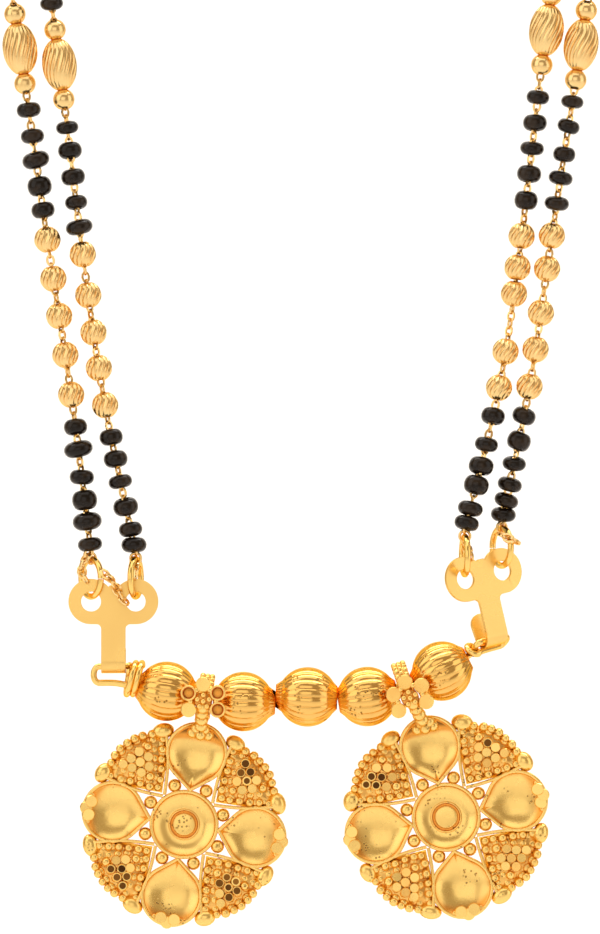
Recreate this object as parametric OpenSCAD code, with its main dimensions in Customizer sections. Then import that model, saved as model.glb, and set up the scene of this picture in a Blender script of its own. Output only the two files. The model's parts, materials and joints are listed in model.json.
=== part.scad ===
// Mangalsutra: two gold and black bead strands, hooked to a wire bar with five
// fluted beads and two rosette pendants. Millimetres, +Z up, the front faces -Y,
// and the origin is where the strands rest on the nape.

/* [Strands] */
// Diameter of the tube that holds the line of a chain
chain_d = 0.9; // [0.7:0.05:1]
// Clearance between a chain and the bore of a bead on it
thread_gap = 0.2; // [0.15:0.05:0.3]
// Diameter of a plain gold ball
ball_d = 2.45; // [2.2:0.05:2.6]
// Diameter of a cut round bead
round_d = 3.1; // [2.6:0.05:3.2]
// Diameter of a cut oval bead
oval_d = 3.95; // [3.4:0.05:4]
// Length of a cut oval bead
oval_len = 6; // [5:0.1:6.2]
// Distance between a ball and the oval beside it
oval_pitch = 4.1; // [4:0.05:4.4]
// Distance between two cut round beads
round_pitch = 4.45; // [4:0.05:4.8]
// Distance from the middle of a run of round beads to the next oval
half_repeat = 31.6; // [30:0.1:33]

/* [Jump rings and end links] */
// Diameter of a jump ring over its wire's middle
ring_d = 4.4; // [4.2:0.05:4.8]
// Diameter of a jump ring's wire
ring_wire_d = 0.67; // [0.5:0.01:0.75]
// Room between a jump ring and the top of its hole
ring_slack = 0.25; // [0.1:0.05:0.4]
// Diameter of a chain's end link over its wire's middle
link_d = 1.26; // [1.2:0.02:1.5]
// Diameter of an end link's wire
link_wire_d = 0.32; // [0.24:0.02:0.34]

/* [Hook plates] */
// Thickness of the sheet
plate_t = 0.4; // [0.3:0.05:0.5]
// Diameter of a ring ear
ear_d = 5.3; // [5:0.1:5.6]
// Diameter of the hole in an ear
ear_hole_d = 2.33; // [2.2:0.05:2.6]
// Distance between the two holes
ear_pitch = 5.2; // [5:0.1:5.6]
// Width of the stem
stem_w = 2.86; // [2.4:0.02:3]
// Distance from the holes to the middle of the bend
stem_len = 6.94; // [6.4:0.02:7.4]
// Radius of the bend over the sheet's middle
bend_r = 1.25; // [1.15:0.05:1.4]
// Length of the tail behind the bend
tail_len = 2.9; // [2:0.1:3.2]
// Angle that the tail leans back
tail_lean = 12; // [4:1:16]

/* [Bar] */
// Diameter of the bar wire
bar_wire_d = 0.67; // [0.5:0.01:0.72]
// Diameter of a fluted bead
bead_d = 7; // [6.6:0.05:7]
// Bore of a fluted bead
bead_bore_d = 2; // [1.9:0.05:2.2]
// Number of flutes round a bead
flutes = 20; // [16:1:20]
// Depth of a flute
flute_depth = 0.16; // [0.08:0.02:0.24]
// Height of the bar's end loops over the wire's middle
loop_h = 1.9; // [1.8:0.05:2.2]
// Radius of the wraps beside the left loop
wrap_r = 1.83; // [1.75:0.01:1.9]
// Distance between two wraps
wrap_pitch = 0.73; // [0.71:0.01:0.75]

/* [Pendants] */
// Diameter of a rosette
rosette_d = 24.2; // [23:0.1:24.4]
// Height of the petals' rims over the rosette's middle plane
rim_h = 0.95; // [0.8:0.05:1.1]
// Depth of a rosette behind its middle plane
back_h = 0.5; // [0.4:0.05:0.7]
// Radius of the centre cup
cup_r = 4.05; // [3.9:0.05:4.2]
// Radius of a petal's round end
petal_r = 3.65; // [3.5:0.05:3.7]
// Thickness of the petal, cup and fan rims
rim_w = 0.4; // [0.3:0.05:0.5]
// Height of the granulated fans
fan_h = 1.35; // [1:0.05:1.6]
// Diameter of a granule
granule_d = 1.2; // [1:0.05:1.3]
// Diameter of a knob on the rosette's edge
knob_d = 1.7; // [1.5:0.05:1.8]

/* [Bails] */
// Outer diameter of a bail's barrel
barrel_d = 5; // [4.4:0.1:5.2]
// Length of a bail's barrel
barrel_len = 1.7; // [1.4:0.05:1.8]
// Clearance between the wire and a bail's bore
bail_gap = 0.15; // [0.1:0.01:0.25]
// Diameter of a disc of the bail flower
disc_d = 1.8; // [1.6:0.05:1.9]
// Distance from the flower's middle to a disc's middle
disc_ring_r = 1.95; // [1.9:0.05:2.1]
// Distance from the wire to the back of the flower's discs
flower_out = 3.5; // [3.45:0.05:3.9]

/* [Hidden] */

gold = [0.93, 0.70, 0.30];
deep_gold = [0.86, 0.60, 0.22];

// Hand-chosen points of the two strands between their end links, left hook first
front_y = -75;
outer_points = [
    [-27.5, front_y, -177.2], [-30.3, front_y, -159], [-33.5, front_y, -136.7],
    [-38.1, front_y, -105], [-42.6, front_y, -72], [-46.4, -74, -45], [-48.2, -71.8, -32.7],
    [-49.5, -68, -22], [-50, -65.4, -17.4], [-50.5, -58.7, -9.9], [-50.5, -55, -7],
    [-49.8, -46.8, -3.1], [-48, -38, -1], [-41, -21, -0.5], [-34.2, -12.7, -1.2],
    [-24, -4.7, -1.8], [-15, -0.6, -2.2], [0, 1.6, -2.2], [15, -0.6, -2.2], [24, -4.7, -1.8],
    [34.2, -12.7, -1.2], [41, -21, -0.5], [48, -38, -1], [49.8, -46.8, -3.1],
    [50.5, -55, -7], [50.5, -58.7, -9.9], [50, -65.4, -17.4], [49.5, -68, -22], [48, -71.8, -32.7],
    [46, -74, -45], [41.6, front_y, -72], [36.7, front_y, -105],
    [32, front_y, -136.1], [28.6, front_y, -158.3], [26, front_y, -175.9]];
inner_points = [
    [-23.6, front_y, -178.1], [-26.2, front_y, -160.5], [-28.9, front_y, -138.5],
    [-33.3, front_y, -105], [-38, front_y, -72], [-41.9, -73.5, -45], [-43.7, -70.8, -31.6],
    [-45, -66.5, -19.5], [-45.9, -60.9, -10.3], [-46, -54, -3.5], [-45.3, -45.8, 0.7],
    [-43.7, -37, 3], [-37.3, -20.5, 4.2], [-31.8, -13.2, 3.9], [-22, -4.8, 3.2], [-13.5, -0.5, 2.6],
    [0, 1.6, 2.2], [13.5, -0.5, 2.6], [22, -4.8, 3.2], [31.8, -13.2, 3.9], [37.3, -20.5, 4.2],
    [43.7, -37, 3], [45.3, -45.8, 0.7], [46, -54, -3.5], [45.9, -60.9, -10.3], [45, -66.5, -19.5],
    [43.4, -70.8, -31.6], [41.4, -73.5, -45], [37.2, front_y, -72], [32.4, front_y, -105],
    [28, front_y, -134], [25.1, front_y, -158.1], [22.5, front_y, -175.8]];

// Distance of the first gold beads from the end link: five round, ball, oval, ball
outer_left_first = [18.6, 23.3, 27.9, 32.3, 36.9, 55.3, 59.4, 63.5];
inner_left_first = [17.6, 22, 26.2, 30.6, 35.4, 53.6, 57.7, 61.8];
inner_right_first = [17.2, 21.5, 28.3, 31.4, 35.1, 55.2, 59.3, 63.4];
outer_right_first = [16.2, 20.6, 24.9, 30.1, 34, 52.4, 56.5, 60.6];
first_oval = 6;
hidden_repeats = 3;

// Places of the plates: middle between the holes, turn about the stem, lean
left_plate_at = [-22.6, front_y, -201.2];
left_plate_turn = 0;
left_plate_lean = 0;
right_plate_at = [20.57, front_y, -198.1];
right_plate_turn = 31;
right_plate_lean = -12.8;
ring_turns = [32, -15, -23, -3];

// Places of the fluted beads on the bar
bar_y = front_y + bend_r;
bead_at = [[-16.38, bar_y, -211.7], [-7.43, bar_y, -212.9], [0.06, bar_y, -212.35],
    [7.05, bar_y, -212.31], [15.75, bar_y, -209.34]];
bead_tilt = [6, 2, 2, -9, -27];

// Places of the rosettes, their turn in the front plane and that of the bail flowers
rosette_y = bar_y + 0.31;
left_rosette_at = [-14.36, rosette_y, -227.25];
left_rosette_turn = 10;
left_flower_at = [-0.2, 0, -0.5];
left_flower_turn = 0;
right_rosette_at = [16.26, rosette_y, -226.4];
right_rosette_turn = -13;
right_flower_at = [0.6, 0, -1.6];
right_flower_turn = -18;

// Vectors and paths
function unit(v) = v / norm(v);
function sums(p) = [for (i = 0, s = 0; i < len(p);
    s = s + (i < len(p) - 1 ? norm(p[i + 1] - p[i]) : 0), i = i + 1) s];
function bend(a, b, c, d, t) = 0.5 * (2 * b + (c - a) * t
    + (2 * a - 5 * b + 4 * c - d) * t * t + (3 * b - a - 3 * c + d) * t * t * t);
function smooth(p, n) = [for (i = [0 : len(p) - 2]) for (j = [0 : n - 1])
    bend(p[max(i - 1, 0)], p[i], p[i + 1], p[min(i + 2, len(p) - 1)], j / n), p[len(p) - 1]];
function along(p, d, s) = [for (k = [0 : 2]) lookup(s, [for (i = [0 : len(p) - 1]) [d[i], p[i][k]]])];
function tangent(p, i) = unit(p[min(i + 1, len(p) - 1)] - p[max(i - 1, 0)]);
function across(n, t) = unit(n - (n * t) * t);
function normals(p, first) = [for (i = 0, n = across(first, tangent(p, 0)); i < len(p);
    i = i + 1, n = across(n, tangent(p, min(i, len(p) - 1)))) n];

// Turns of the two plates' frames
function turned(v, a) = [v.x * cos(a) - v.y * sin(a), v.x * sin(a) + v.y * cos(a), v.z];
function leaned(v, a) = [v.x * cos(a) + v.z * sin(a), v.y, v.z * cos(a) - v.x * sin(a)];
function on_plate(v, turn, lean) = leaned(turned(v, turn), lean);
plate_turn = [left_plate_turn, left_plate_turn, right_plate_turn, right_plate_turn];
plate_lean = [left_plate_lean, left_plate_lean, right_plate_lean, right_plate_lean];
plate_at = [left_plate_at, left_plate_at, right_plate_at, right_plate_at];

// Jump rings hang in the holes, and the end links hang in them
ring_rise = ear_hole_d / 2 - ring_wire_d / 2 - ring_slack + ring_d / 2;
ring_at = [for (i = [0 : 3]) plate_at[i] + [0, 0, ring_rise]
    + on_plate([(i % 2 == 0 ? -1 : 1) * ear_pitch / 2, 0, 0], plate_turn[i], plate_lean[i])];
link_play = 0.06;
link_rise = ring_d / 2 - ring_wire_d / 2 - link_wire_d / 2 - link_play + link_d / 2;
link_at = [for (r = ring_at) r + [0, 0, link_rise]];
link_top = [for (l = link_at) l + [0, 0, link_d / 2]];

outer_path = concat([link_top[0]], outer_points, [link_top[3]]);
inner_path = concat([link_top[1]], inner_points, [link_top[2]]);

// Distances of the gold beads of one half strand, to its middle at the nape
function runs(first, half) = let (pitch = (half - first[first_oval] - half_repeat) / hidden_repeats)
    [for (k = [1 : hidden_repeats]) first[first_oval] + k * pitch];
function half_rounds(first, half) = concat([for (i = [0 : 4]) first[i]],
    [for (o = runs(first, half)) for (i = [-2 : 2]) o - half_repeat + i * round_pitch]);
function half_balls(first, half) = concat([first[5], first[7]],
    [for (o = runs(first, half)) for (i = [-1, 1]) o + i * oval_pitch]);
function half_ovals(first, half) = concat([first[first_oval]], runs(first, half));
function both(left, right, whole) = concat(left, [for (s = right) whole - s]);

// Seats of the bar's end loops in the two hooks
seat_gap = 0.05;
loop_gap = 0.15;
seat_drop = stem_len + bend_r - plate_t / 2 - bar_wire_d / 2 - seat_gap;
left_seat = left_plate_at + on_plate([0, bend_r, -seat_drop], left_plate_turn, left_plate_lean);
right_seat = right_plate_at + on_plate([0, bend_r, -seat_drop], right_plate_turn, right_plate_lean);
loop_reach = stem_w / 2 + bar_wire_d / 2 + loop_gap;
loop_bulge = 0.35;
function loop(seat, u, v) = [seat + u * loop_reach, seat + u * (loop_reach + loop_bulge) + v * loop_bulge,
    seat + u * (loop_reach + loop_bulge) + v * (loop_h - loop_bulge), seat + u * loop_reach + v * loop_h];

// Left end: wraps from their free end to the loop and back under them
wrap_at = left_seat + [1.88, 0, -1.42];
wrap_turns = 2.1;
wrap_steps = 9;
wrap_lean = 0.36;
left_wraps = [for (i = [0 : wrap_turns * wrap_steps]) let (w = wrap_turns - i / wrap_steps, a = 90 + 360 * w)
    wrap_at + [w * wrap_pitch - wrap_lean * (1 - sin(a)), -wrap_r * cos(a), wrap_r * sin(a)]];
left_loop = loop(left_seat, [-1, 0, 0], [0, 0, -1]);
wrap_exit = wrap_at + [1, 0, -0.98];
left_under = [left_seat + [0.2, 0, -loop_h - 0.02], wrap_at + [-0.2, 0, -0.78], wrap_exit];

// Right end: the loop leans back from the hook and closes with one wrap
right_u = on_plate([1, 0, 0], right_plate_turn, right_plate_lean);
loop_back = 60;
right_v = on_plate([0, sin(loop_back), -cos(loop_back)], right_plate_turn, right_plate_lean);
right_loop = loop(right_seat, right_u, right_v);
right_stem = [right_seat - right_u * loop_reach, right_seat];
stem_foot = bead_at[4] + [3.35, 0, 2.0];
stem_axis = unit(right_stem[0] - stem_foot);
stem_side = across(right_v, stem_axis);
stem_third = cross(stem_axis, stem_side);
close_r = bar_wire_d + 0.14;
close_steps = 9;
close_start = -60;
close_turn = 330;
close_rise = [1.05, 0.3];
right_close = [for (i = [0 : close_steps]) let (a = close_start - close_turn * i / close_steps)
    stem_foot + stem_axis * (close_rise[0] + (close_rise[1] - close_rise[0]) * i / close_steps)
    + close_r * (cos(a) * stem_side + sin(a) * stem_third)];

// The bar from bead to bead, rounded inside the beads
bend_from = 2.4;
bend_share = 0.3;
function corner(p, i, t) = [p[i] + unit(p[i - 1] - p[i]) * t,
    p[i] + (unit(p[i - 1] - p[i]) + unit(p[i + 1] - p[i])) * t * bend_share, p[i] + unit(p[i + 1] - p[i]) * t];
bar_line = concat([wrap_exit], bead_at, [stem_foot]);
bar_middle = [for (i = [1 : 5]) each corner(bar_line, i, bend_from)];
bar_path = concat(left_wraps, [left_seat + [loop_reach - 0.3, 0, 0.05], left_seat],
    smooth(left_loop, 3), left_under, bar_middle, [stem_foot], right_stem,
    smooth(right_loop, 3), right_close);

// A closed tube of a few sides along a path
module tube(path, d, sides) {
    n = normals(path, [0.1, 1, 0.2]);
    last = len(path) - 1;
    rows = [for (i = [0 : last]) let (t = tangent(path, i), u = across(n[i], t), v = cross(t, u))
        for (j = [0 : sides - 1]) path[i] + d / 2 * (cos(360 * j / sides) * u + sin(360 * j / sides) * v)];
    walls = [for (i = [0 : last - 1]) for (j = [0 : sides - 1]) let (k = (j + 1) % sides)
        each [[i * sides + j, (i + 1) * sides + j, (i + 1) * sides + k],
            [i * sides + j, (i + 1) * sides + k, i * sides + k]]];
    ends = [[for (j = [0 : sides - 1]) j], [for (j = [sides - 1 : -1 : 0]) last * sides + j]];
    polyhedron(rows, concat(walls, ends));
}

// Turns the Z axis to a direction
module aim(v) {
    rotate([0, acos(v.z / norm(v)), atan2(v.y, v.x)]) children();
}

module wire_ring(d, wire_d) {
    rotate_extrude($fn = 40) translate([d / 2, 0]) circle(d = wire_d, $fn = 20);
}

// A bored bead: its profile is an ellipse cut off at the bore
module bored_bead(d, length, bore_d) {
    edge = asin(bore_d / d);
    arc = [for (i = [0 : 8]) let (a = edge + (180 - 2 * edge) * i / 8) [d / 2 * sin(a), -length / 2 * cos(a)]];
    rotate_extrude($fn = 24) polygon(arc);
}

// Beads of one kind at their distances along a strand
module beads_on(path, places, d, length) {
    dist = sums(path);
    for (s = places) {
        a = along(path, dist, s - length / 2);
        b = along(path, dist, s + length / 2);
        translate((a + b) / 2) aim(b - a) bored_bead(d, length, chain_d + 2 * thread_gap);
    }
}

module strand_beads(path, left, right) {
    dist = sums(path);
    whole = dist[len(path) - 1];
    half = whole / 2;
    nape = [for (i = [-2 : 2]) half + i * round_pitch];
    beads_on(path, concat(both(half_rounds(left, half), half_rounds(right, half), whole), nape),
        round_d, round_d);
    beads_on(path, both(half_balls(left, half), half_balls(right, half), whole), ball_d, ball_d);
    beads_on(path, both(half_ovals(left, half), half_ovals(right, half), whole), oval_d, oval_len);
}

module strand_chain(path, first, last) {
    tube(path, chain_d, 8);
    for (i = [first, last]) translate(link_at[i]) rotate([0, 0, plate_turn[i] + ring_turns[i]])
        rotate([90, 0, 0]) wire_ring(link_d, link_wire_d);
}

module outer_chain() {
    color(gold) strand_chain(outer_path, 0, 3);
}

module inner_chain() {
    color(gold) strand_chain(inner_path, 1, 2);
}

module outer_gold_beads() {
    color(gold) strand_beads(outer_path, outer_left_first, outer_right_first);
}

module inner_gold_beads() {
    color(gold) strand_beads(inner_path, inner_left_first, inner_right_first);
}

module jump_ring(i) {
    color(deep_gold) translate(ring_at[i]) rotate([0, 0, plate_turn[i] + ring_turns[i]])
        rotate([0, 90, 0]) wire_ring(ring_d, ring_wire_d);
}

// A hook plate with its holes' middle at the origin and its front towards -Y: two ears
// and a web between them, hollow necks beside the stem, the bend and a round-ended tail
module hook_plate() {
    neck_r = 0.55;
    web_h = 1.9;
    web_top = 0.8;
    throat_h = ear_d / 2;
    rotate([90, 0, 0]) translate([0, 0, -plate_t / 2]) linear_extrude(plate_t) difference() {
        union() {
            for (s = [-1, 1]) translate([s * ear_pitch / 2, 0]) circle(d = ear_d, $fn = 48);
            polygon([[-ear_pitch / 2, 0], [-web_top / 2, web_h], [web_top / 2, web_h], [ear_pitch / 2, 0]]);
            translate([-stem_w / 2, -stem_len]) square([stem_w, stem_len]);
            translate([-ear_pitch / 2, -throat_h]) square([ear_pitch, throat_h]);
            translate([-stem_w / 2 - neck_r, -throat_h - neck_r]) square([stem_w + 2 * neck_r, 2 * neck_r]);
        }
        for (s = [-1, 1]) {
            translate([s * ear_pitch / 2, 0]) circle(d = ear_hole_d, $fn = 32);
            translate([s * (stem_w / 2 + neck_r), -throat_h - neck_r]) circle(r = neck_r, $fn = 24);
        }
    }
    translate([0, bend_r, -stem_len]) rotate([0, 90, 0]) translate([0, 0, -stem_w / 2])
        rotate([0, 0, -90]) rotate_extrude(angle = 180 - tail_lean, $fn = 48)
        translate([bend_r - plate_t / 2, 0]) square([plate_t, stem_w]);
    translate([0, bend_r, -stem_len]) rotate([-tail_lean, 0, 0]) translate([0, bend_r, 0]) {
        translate([-stem_w / 2, -plate_t / 2, 0]) cube([stem_w, plate_t, tail_len - stem_w / 2]);
        translate([0, 0, tail_len - stem_w / 2]) rotate([90, 0, 0])
            cylinder(d = stem_w, h = plate_t, center = true, $fn = 40);
    }
}

module left_hook_plate() {
    color(gold) translate(left_plate_at) rotate([0, left_plate_lean, 0])
        rotate([0, 0, left_plate_turn]) hook_plate();
}

module right_hook_plate() {
    color(gold) translate(right_plate_at) rotate([0, right_plate_lean, 0])
        rotate([0, 0, right_plate_turn]) hook_plate();
}

// The bar wire has true round journals under the two bails, a little thicker and longer than them
module bar_wire() {
    journal_over = 0.02;
    journal_past = 0.4;
    color(deep_gold) {
        tube(bar_path, bar_wire_d, 8);
        for (i = [0, 3]) translate((bead_at[i] + bead_at[i + 1]) / 2) aim(bead_at[i + 1] - bead_at[i])
            cylinder(d = bar_wire_d + journal_over, h = barrel_len + journal_past, center = true, $fn = 32);
    }
}

// A fluted bead along Z: flutes run from hole to hole, and the bore is round
module fluted_bead(i) {
    lip_w = 0.15;
    bands = 6;
    sides = 2 * flutes;
    edge = asin((bead_bore_d + 2 * lip_w) / bead_d);
    rows = [for (j = [0 : bands]) let (a = edge + (180 - 2 * edge) * j / bands) for (k = [0 : sides - 1])
        let (r = (bead_d / 2 - (k % 2) * flute_depth) * sin(a))
        [r * cos(360 * k / sides), r * sin(360 * k / sides), -bead_d / 2 * cos(a)]];
    walls = [for (j = [0 : bands - 1]) for (k = [0 : sides - 1]) let (n = (k + 1) % sides)
        each [[j * sides + k, (j + 1) * sides + k, (j + 1) * sides + n],
            [j * sides + k, (j + 1) * sides + n, j * sides + n]]];
    ends = [[for (k = [0 : sides - 1]) k], [for (k = [sides - 1 : -1 : 0]) bands * sides + k]];
    color(gold) translate(bead_at[i]) rotate([0, 90 + bead_tilt[i], 0]) difference() {
        polyhedron(rows, concat(walls, ends));
        cylinder(d = bead_bore_d, h = bead_d, center = true, $fn = 32);
    }
}

// A closed solid of rings that share one outline: each level is a share of it and a height
module lofted(outline, middle, levels) {
    n = len(outline);
    last = len(levels) - 1;
    rows = [for (l = levels) for (p = outline)
        let (q = middle + (p - middle) * l[0]) [q.x, q.y, l[1]]];
    caps = [[middle.x, middle.y, levels[0][1]], [middle.x, middle.y, levels[last][1]]];
    walls = [for (j = [0 : last - 1]) for (k = [0 : n - 1]) let (m = (k + 1) % n)
        each [[j * n + k, (j + 1) * n + k, (j + 1) * n + m], [j * n + k, (j + 1) * n + m, j * n + m]]];
    ends = [for (k = [0 : n - 1]) let (m = (k + 1) % n)
        each [[n * (last + 1), k, m], [n * (last + 1) + 1, last * n + m, last * n + k]]];
    polyhedron(concat(rows, caps), concat(walls, ends));
}

// Rosette values: a petal lies along X, and a fan along the diagonal. Levels of a lofted
// part are the share of its outline and the height there, from its back to its front
petal_far = rosette_d / 2;
petal_mid = petal_far - petal_r;
petal_point = cup_r - 0.2;
petal_steps = 11;
petal_turn = petal_mid - petal_point > petal_r ? acos(petal_r / (petal_mid - petal_point)) : 0;
petal_outline = concat([[petal_point, 0]], [for (i = [0 : petal_steps])
    let (a = -180 + petal_turn + (360 - 2 * petal_turn) * i / petal_steps)
    [petal_mid + petal_r * cos(a), petal_r * sin(a)]]);
fan_point = cup_r + 0.45;
fan_side = [9.7, 4.3] * rosette_d / 24.2;
fan_far = rosette_d / 2 - 0.35;
fan_outline = [[fan_point, 0], [(fan_point + fan_side.x) / 2, -fan_side.y / 2], [fan_side.x, -fan_side.y],
    [fan_far - 0.85, -2.9], [fan_far - 0.2, -1.45], [fan_far, 0], [fan_far - 0.2, 1.45],
    [fan_far - 0.85, 2.9], [fan_side.x, fan_side.y], [(fan_point + fan_side.x) / 2, fan_side.y / 2]];
fan_middle = [(fan_point + fan_far) / 2 + 0.6, 0];
granule_pitch = granule_d * 1.12;
granule_base = granule_d * 0.52;
granule_top = granule_d * 0.28;
granule_h = granule_d * 0.62;
granule_sunk = granule_d * 0.5;
granule_row = 0.87;
granule_gap = 0.5;
fan_curve = 0.045;
fan_edge_curve = 0.1;
granule_bed = 0.05;
fan_levels = [[1, 0.16 - back_h], [1, rim_h * 0.5], [0.65, fan_h - granule_sunk + granule_bed]];
fan_wire_from = 0.24 - back_h;
fan_wire_h = rim_h * 0.7;
fan_wire_in = 0.5;
petal_centre = [petal_mid - 0.4, 0];
petal_levels = [[1, 0.08 - back_h], [1, rim_h - 0.08], [0.9, rim_h - 0.08], [0.84, rim_h - 0.5], [0.45, 0.1]];
tip_in = [0.5, 0.85];
tip_side = 0.95;
floor_h = 0.1;
groove_r = [1.3, 1.75];
dish_r = 2.1;
dish_rim = [0.25, 0.35];
button_h = 0.45;
ball_at = [23.5, cup_r + 0.5];
joining_ball_d = 1.4;
knob_at = [22.6, rosette_d / 2 - 0.8];
balls_h = 0.2;

function in_fan(p, gap) = p.x < fan_far - gap - p.y * p.y * fan_edge_curve
    && abs(p.y) < (p.x - fan_point) * fan_side.y / (fan_side.x - fan_point) - gap;
function fan_top(p) = fan_h - fan_curve * (pow(p.x - fan_middle.x, 2) + pow(p.y, 2));

// Rows of granules, every other row moved by half a granule
module granules() {
    for (i = [-4 : 4]) for (j = [-4 : 4]) {
        p = [fan_middle.x + i * granule_pitch * granule_row, (j + (i % 2 == 0 ? 0 : 0.5)) * granule_pitch];
        if (in_fan(p, granule_gap)) translate([p.x, p.y, fan_top(p) - granule_sunk])
            cylinder(r1 = granule_base, r2 = granule_top, h = granule_h, $fn = 6);
    }
}

// A domed wedge with its granules, and a wall along each straight side
module fan() {
    lofted(fan_outline, fan_middle, fan_levels);
    granules();
    for (s = [-1, 1]) {
        run = [fan_side.x - fan_point + fan_wire_in, s * fan_side.y];
        translate([fan_point - fan_wire_in, 0, fan_wire_from]) rotate([0, 0, atan2(run.y, run.x)])
            translate([0, -rim_w / 2, 0]) cube([norm(run), rim_w, fan_wire_h - fan_wire_from]);
    }
}

// A tear-shaped dish; three cut granules sit on the tip of a petal that carries no bail
module petal(tip) {
    lofted(petal_outline, petal_centre, petal_levels);
    if (tip) for (s = [-1, 0, 1]) translate([petal_far - tip_in[abs(s)], tip_side * s, floor_h])
        cylinder(d = granule_d, h = rim_h + 0.1 - 0.06 * s, $fn = 6);
}

// The centre: a rim, a dish, a groove and a raised button
module cup() {
    rotate_extrude($fn = 24) polygon([[0, -back_h], [cup_r, -back_h], [cup_r, rim_h], [cup_r - rim_w, rim_h],
        [cup_r - rim_w - dish_rim[0], rim_h - dish_rim[1]], [dish_r, floor_h], [groove_r[1], floor_h],
        [groove_r[1], -floor_h], [groove_r[0], -floor_h], [groove_r[0], button_h], [0, button_h]]);
}

// Balls that join petals to fans near the cup, and knobs that do so at the edge
module joining_balls() {
    for (s = [-1, 1]) {
        rotate([0, 0, ball_at[0] * s]) translate([ball_at[1], 0, balls_h]) sphere(d = joining_ball_d, $fn = 6);
        rotate([0, 0, knob_at[0] * s]) translate([knob_at[1], 0, balls_h]) sphere(d = knob_d, $fn = 6);
    }
}

module rosette() {
    resize([rosette_d, rosette_d, 0]) union() {
        cup();
        for (q = [0 : 3]) rotate([0, 0, 90 * q]) {
            petal(q != 1);
            joining_balls();
            rotate([0, 0, 45]) fan();
        }
    }
}

// A bail along the wire: the barrel, its flower in front, and the stem to the rosette
cluster_out = rim_h + 0.55;
post_r = 1.05;
post_back = 1.9;
post_front = 0.4;
disc_t = 0.5;
disc_angles = [30, 90, 150, 210, 330];
arm_size = [0.8, 0.7, 0.35];
arm_from = 0.9;
arm_back = 0.05;
stem_pitch = granule_d * 0.95;
stem_ball_d = granule_d * 1.2;
stem_in = 0.2;
pair_at = [0.8, -0.1, -0.1];
peg_r = 0.8;
peg_turn = 7;
peg_len = rim_h + 0.6;
foot_in = 1.1;

module bail(at, run, flower_at, flower_turn, foot) {
    front = at + flower_at + [0, -flower_out, 0];
    cluster = foot + [0, -cluster_out, 0];
    translate(at) aim(run) difference() {
        cylinder(d = barrel_d, h = barrel_len, center = true, $fn = 48);
        cylinder(d = bar_wire_d + 2 * bail_gap, h = barrel_len + 1, center = true, $fn = 32);
    }
    translate(front) rotate([0, flower_turn, 0]) rotate([90, 0, 0]) {
        translate([0, 0, -post_back]) cylinder(r = post_r, h = post_back + post_front, $fn = 10);
        for (a = disc_angles) rotate([0, 0, a]) translate([disc_ring_r, 0, 0])
            cylinder(d = disc_d, h = disc_t, $fn = 12);
        for (a = disc_angles) rotate([0, 0, a]) translate([arm_from, -arm_size.y / 2, arm_back]) cube(arm_size);
    }
    steps = ceil(norm(cluster - front) / stem_pitch);
    for (i = [1 : steps]) translate(front + (cluster - front) * i / steps + [0, -stem_in, 0])
        sphere(d = stem_ball_d, $fn = 8);
    for (s = [-1, 1]) translate(cluster + [s * pair_at.x, pair_at.y, pair_at.z]) sphere(d = granule_d, $fn = 7);
    translate(foot) rotate([90, 0, peg_turn]) cylinder(r = peg_r, h = peg_len, $fn = 9);
}

function petal_tip(at, turn) = at + (petal_far - foot_in) * [sin(turn), 0, cos(turn)];

module pendant(at, turn, i, flower_at, flower_turn) {
    translate(at) rotate([0, turn, 0]) rotate([90, 0, 0]) rosette();
    bail((bead_at[i] + bead_at[i + 1]) / 2, bead_at[i + 1] - bead_at[i], flower_at, flower_turn,
        petal_tip(at, turn));
}

module left_pendant() {
    color(gold) pendant(left_rosette_at, left_rosette_turn, 0, left_flower_at, left_flower_turn);
}

module right_pendant() {
    color(gold) pendant(right_rosette_at, right_rosette_turn, 3, right_flower_at, right_flower_turn);
}

outer_chain();
inner_chain();
outer_gold_beads();
inner_gold_beads();
jump_ring(0);  // ring_1
jump_ring(1);  // ring_2
jump_ring(2);  // ring_3
jump_ring(3);  // ring_4
left_hook_plate();
right_hook_plate();
bar_wire();
fluted_bead(0);  // fluted_bead_1
fluted_bead(1);  // fluted_bead_2
fluted_bead(2);  // fluted_bead_3
fluted_bead(3);  // fluted_bead_4
fluted_bead(4);  // fluted_bead_5
left_pendant();
right_pendant();
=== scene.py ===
import json
import math
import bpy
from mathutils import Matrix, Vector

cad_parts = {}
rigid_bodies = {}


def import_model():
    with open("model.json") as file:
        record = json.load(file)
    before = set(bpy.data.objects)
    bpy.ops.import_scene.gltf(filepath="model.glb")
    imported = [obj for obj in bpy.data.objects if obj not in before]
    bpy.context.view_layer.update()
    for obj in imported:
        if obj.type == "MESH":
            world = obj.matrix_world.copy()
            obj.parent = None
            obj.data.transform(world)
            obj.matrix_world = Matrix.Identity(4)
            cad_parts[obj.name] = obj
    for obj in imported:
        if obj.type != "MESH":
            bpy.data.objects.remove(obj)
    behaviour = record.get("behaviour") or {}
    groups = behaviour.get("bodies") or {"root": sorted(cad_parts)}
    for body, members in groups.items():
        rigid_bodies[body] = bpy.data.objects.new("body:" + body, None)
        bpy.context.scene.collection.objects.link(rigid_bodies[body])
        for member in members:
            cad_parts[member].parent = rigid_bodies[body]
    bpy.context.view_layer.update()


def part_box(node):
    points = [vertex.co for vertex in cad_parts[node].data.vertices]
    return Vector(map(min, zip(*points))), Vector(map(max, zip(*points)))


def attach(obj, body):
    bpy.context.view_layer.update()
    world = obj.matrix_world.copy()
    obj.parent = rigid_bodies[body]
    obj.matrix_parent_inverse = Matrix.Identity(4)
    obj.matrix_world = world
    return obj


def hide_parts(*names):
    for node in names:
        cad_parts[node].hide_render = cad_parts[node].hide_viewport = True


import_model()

import types

import bmesh
import bpy
import mathutils
import numpy as np

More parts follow.
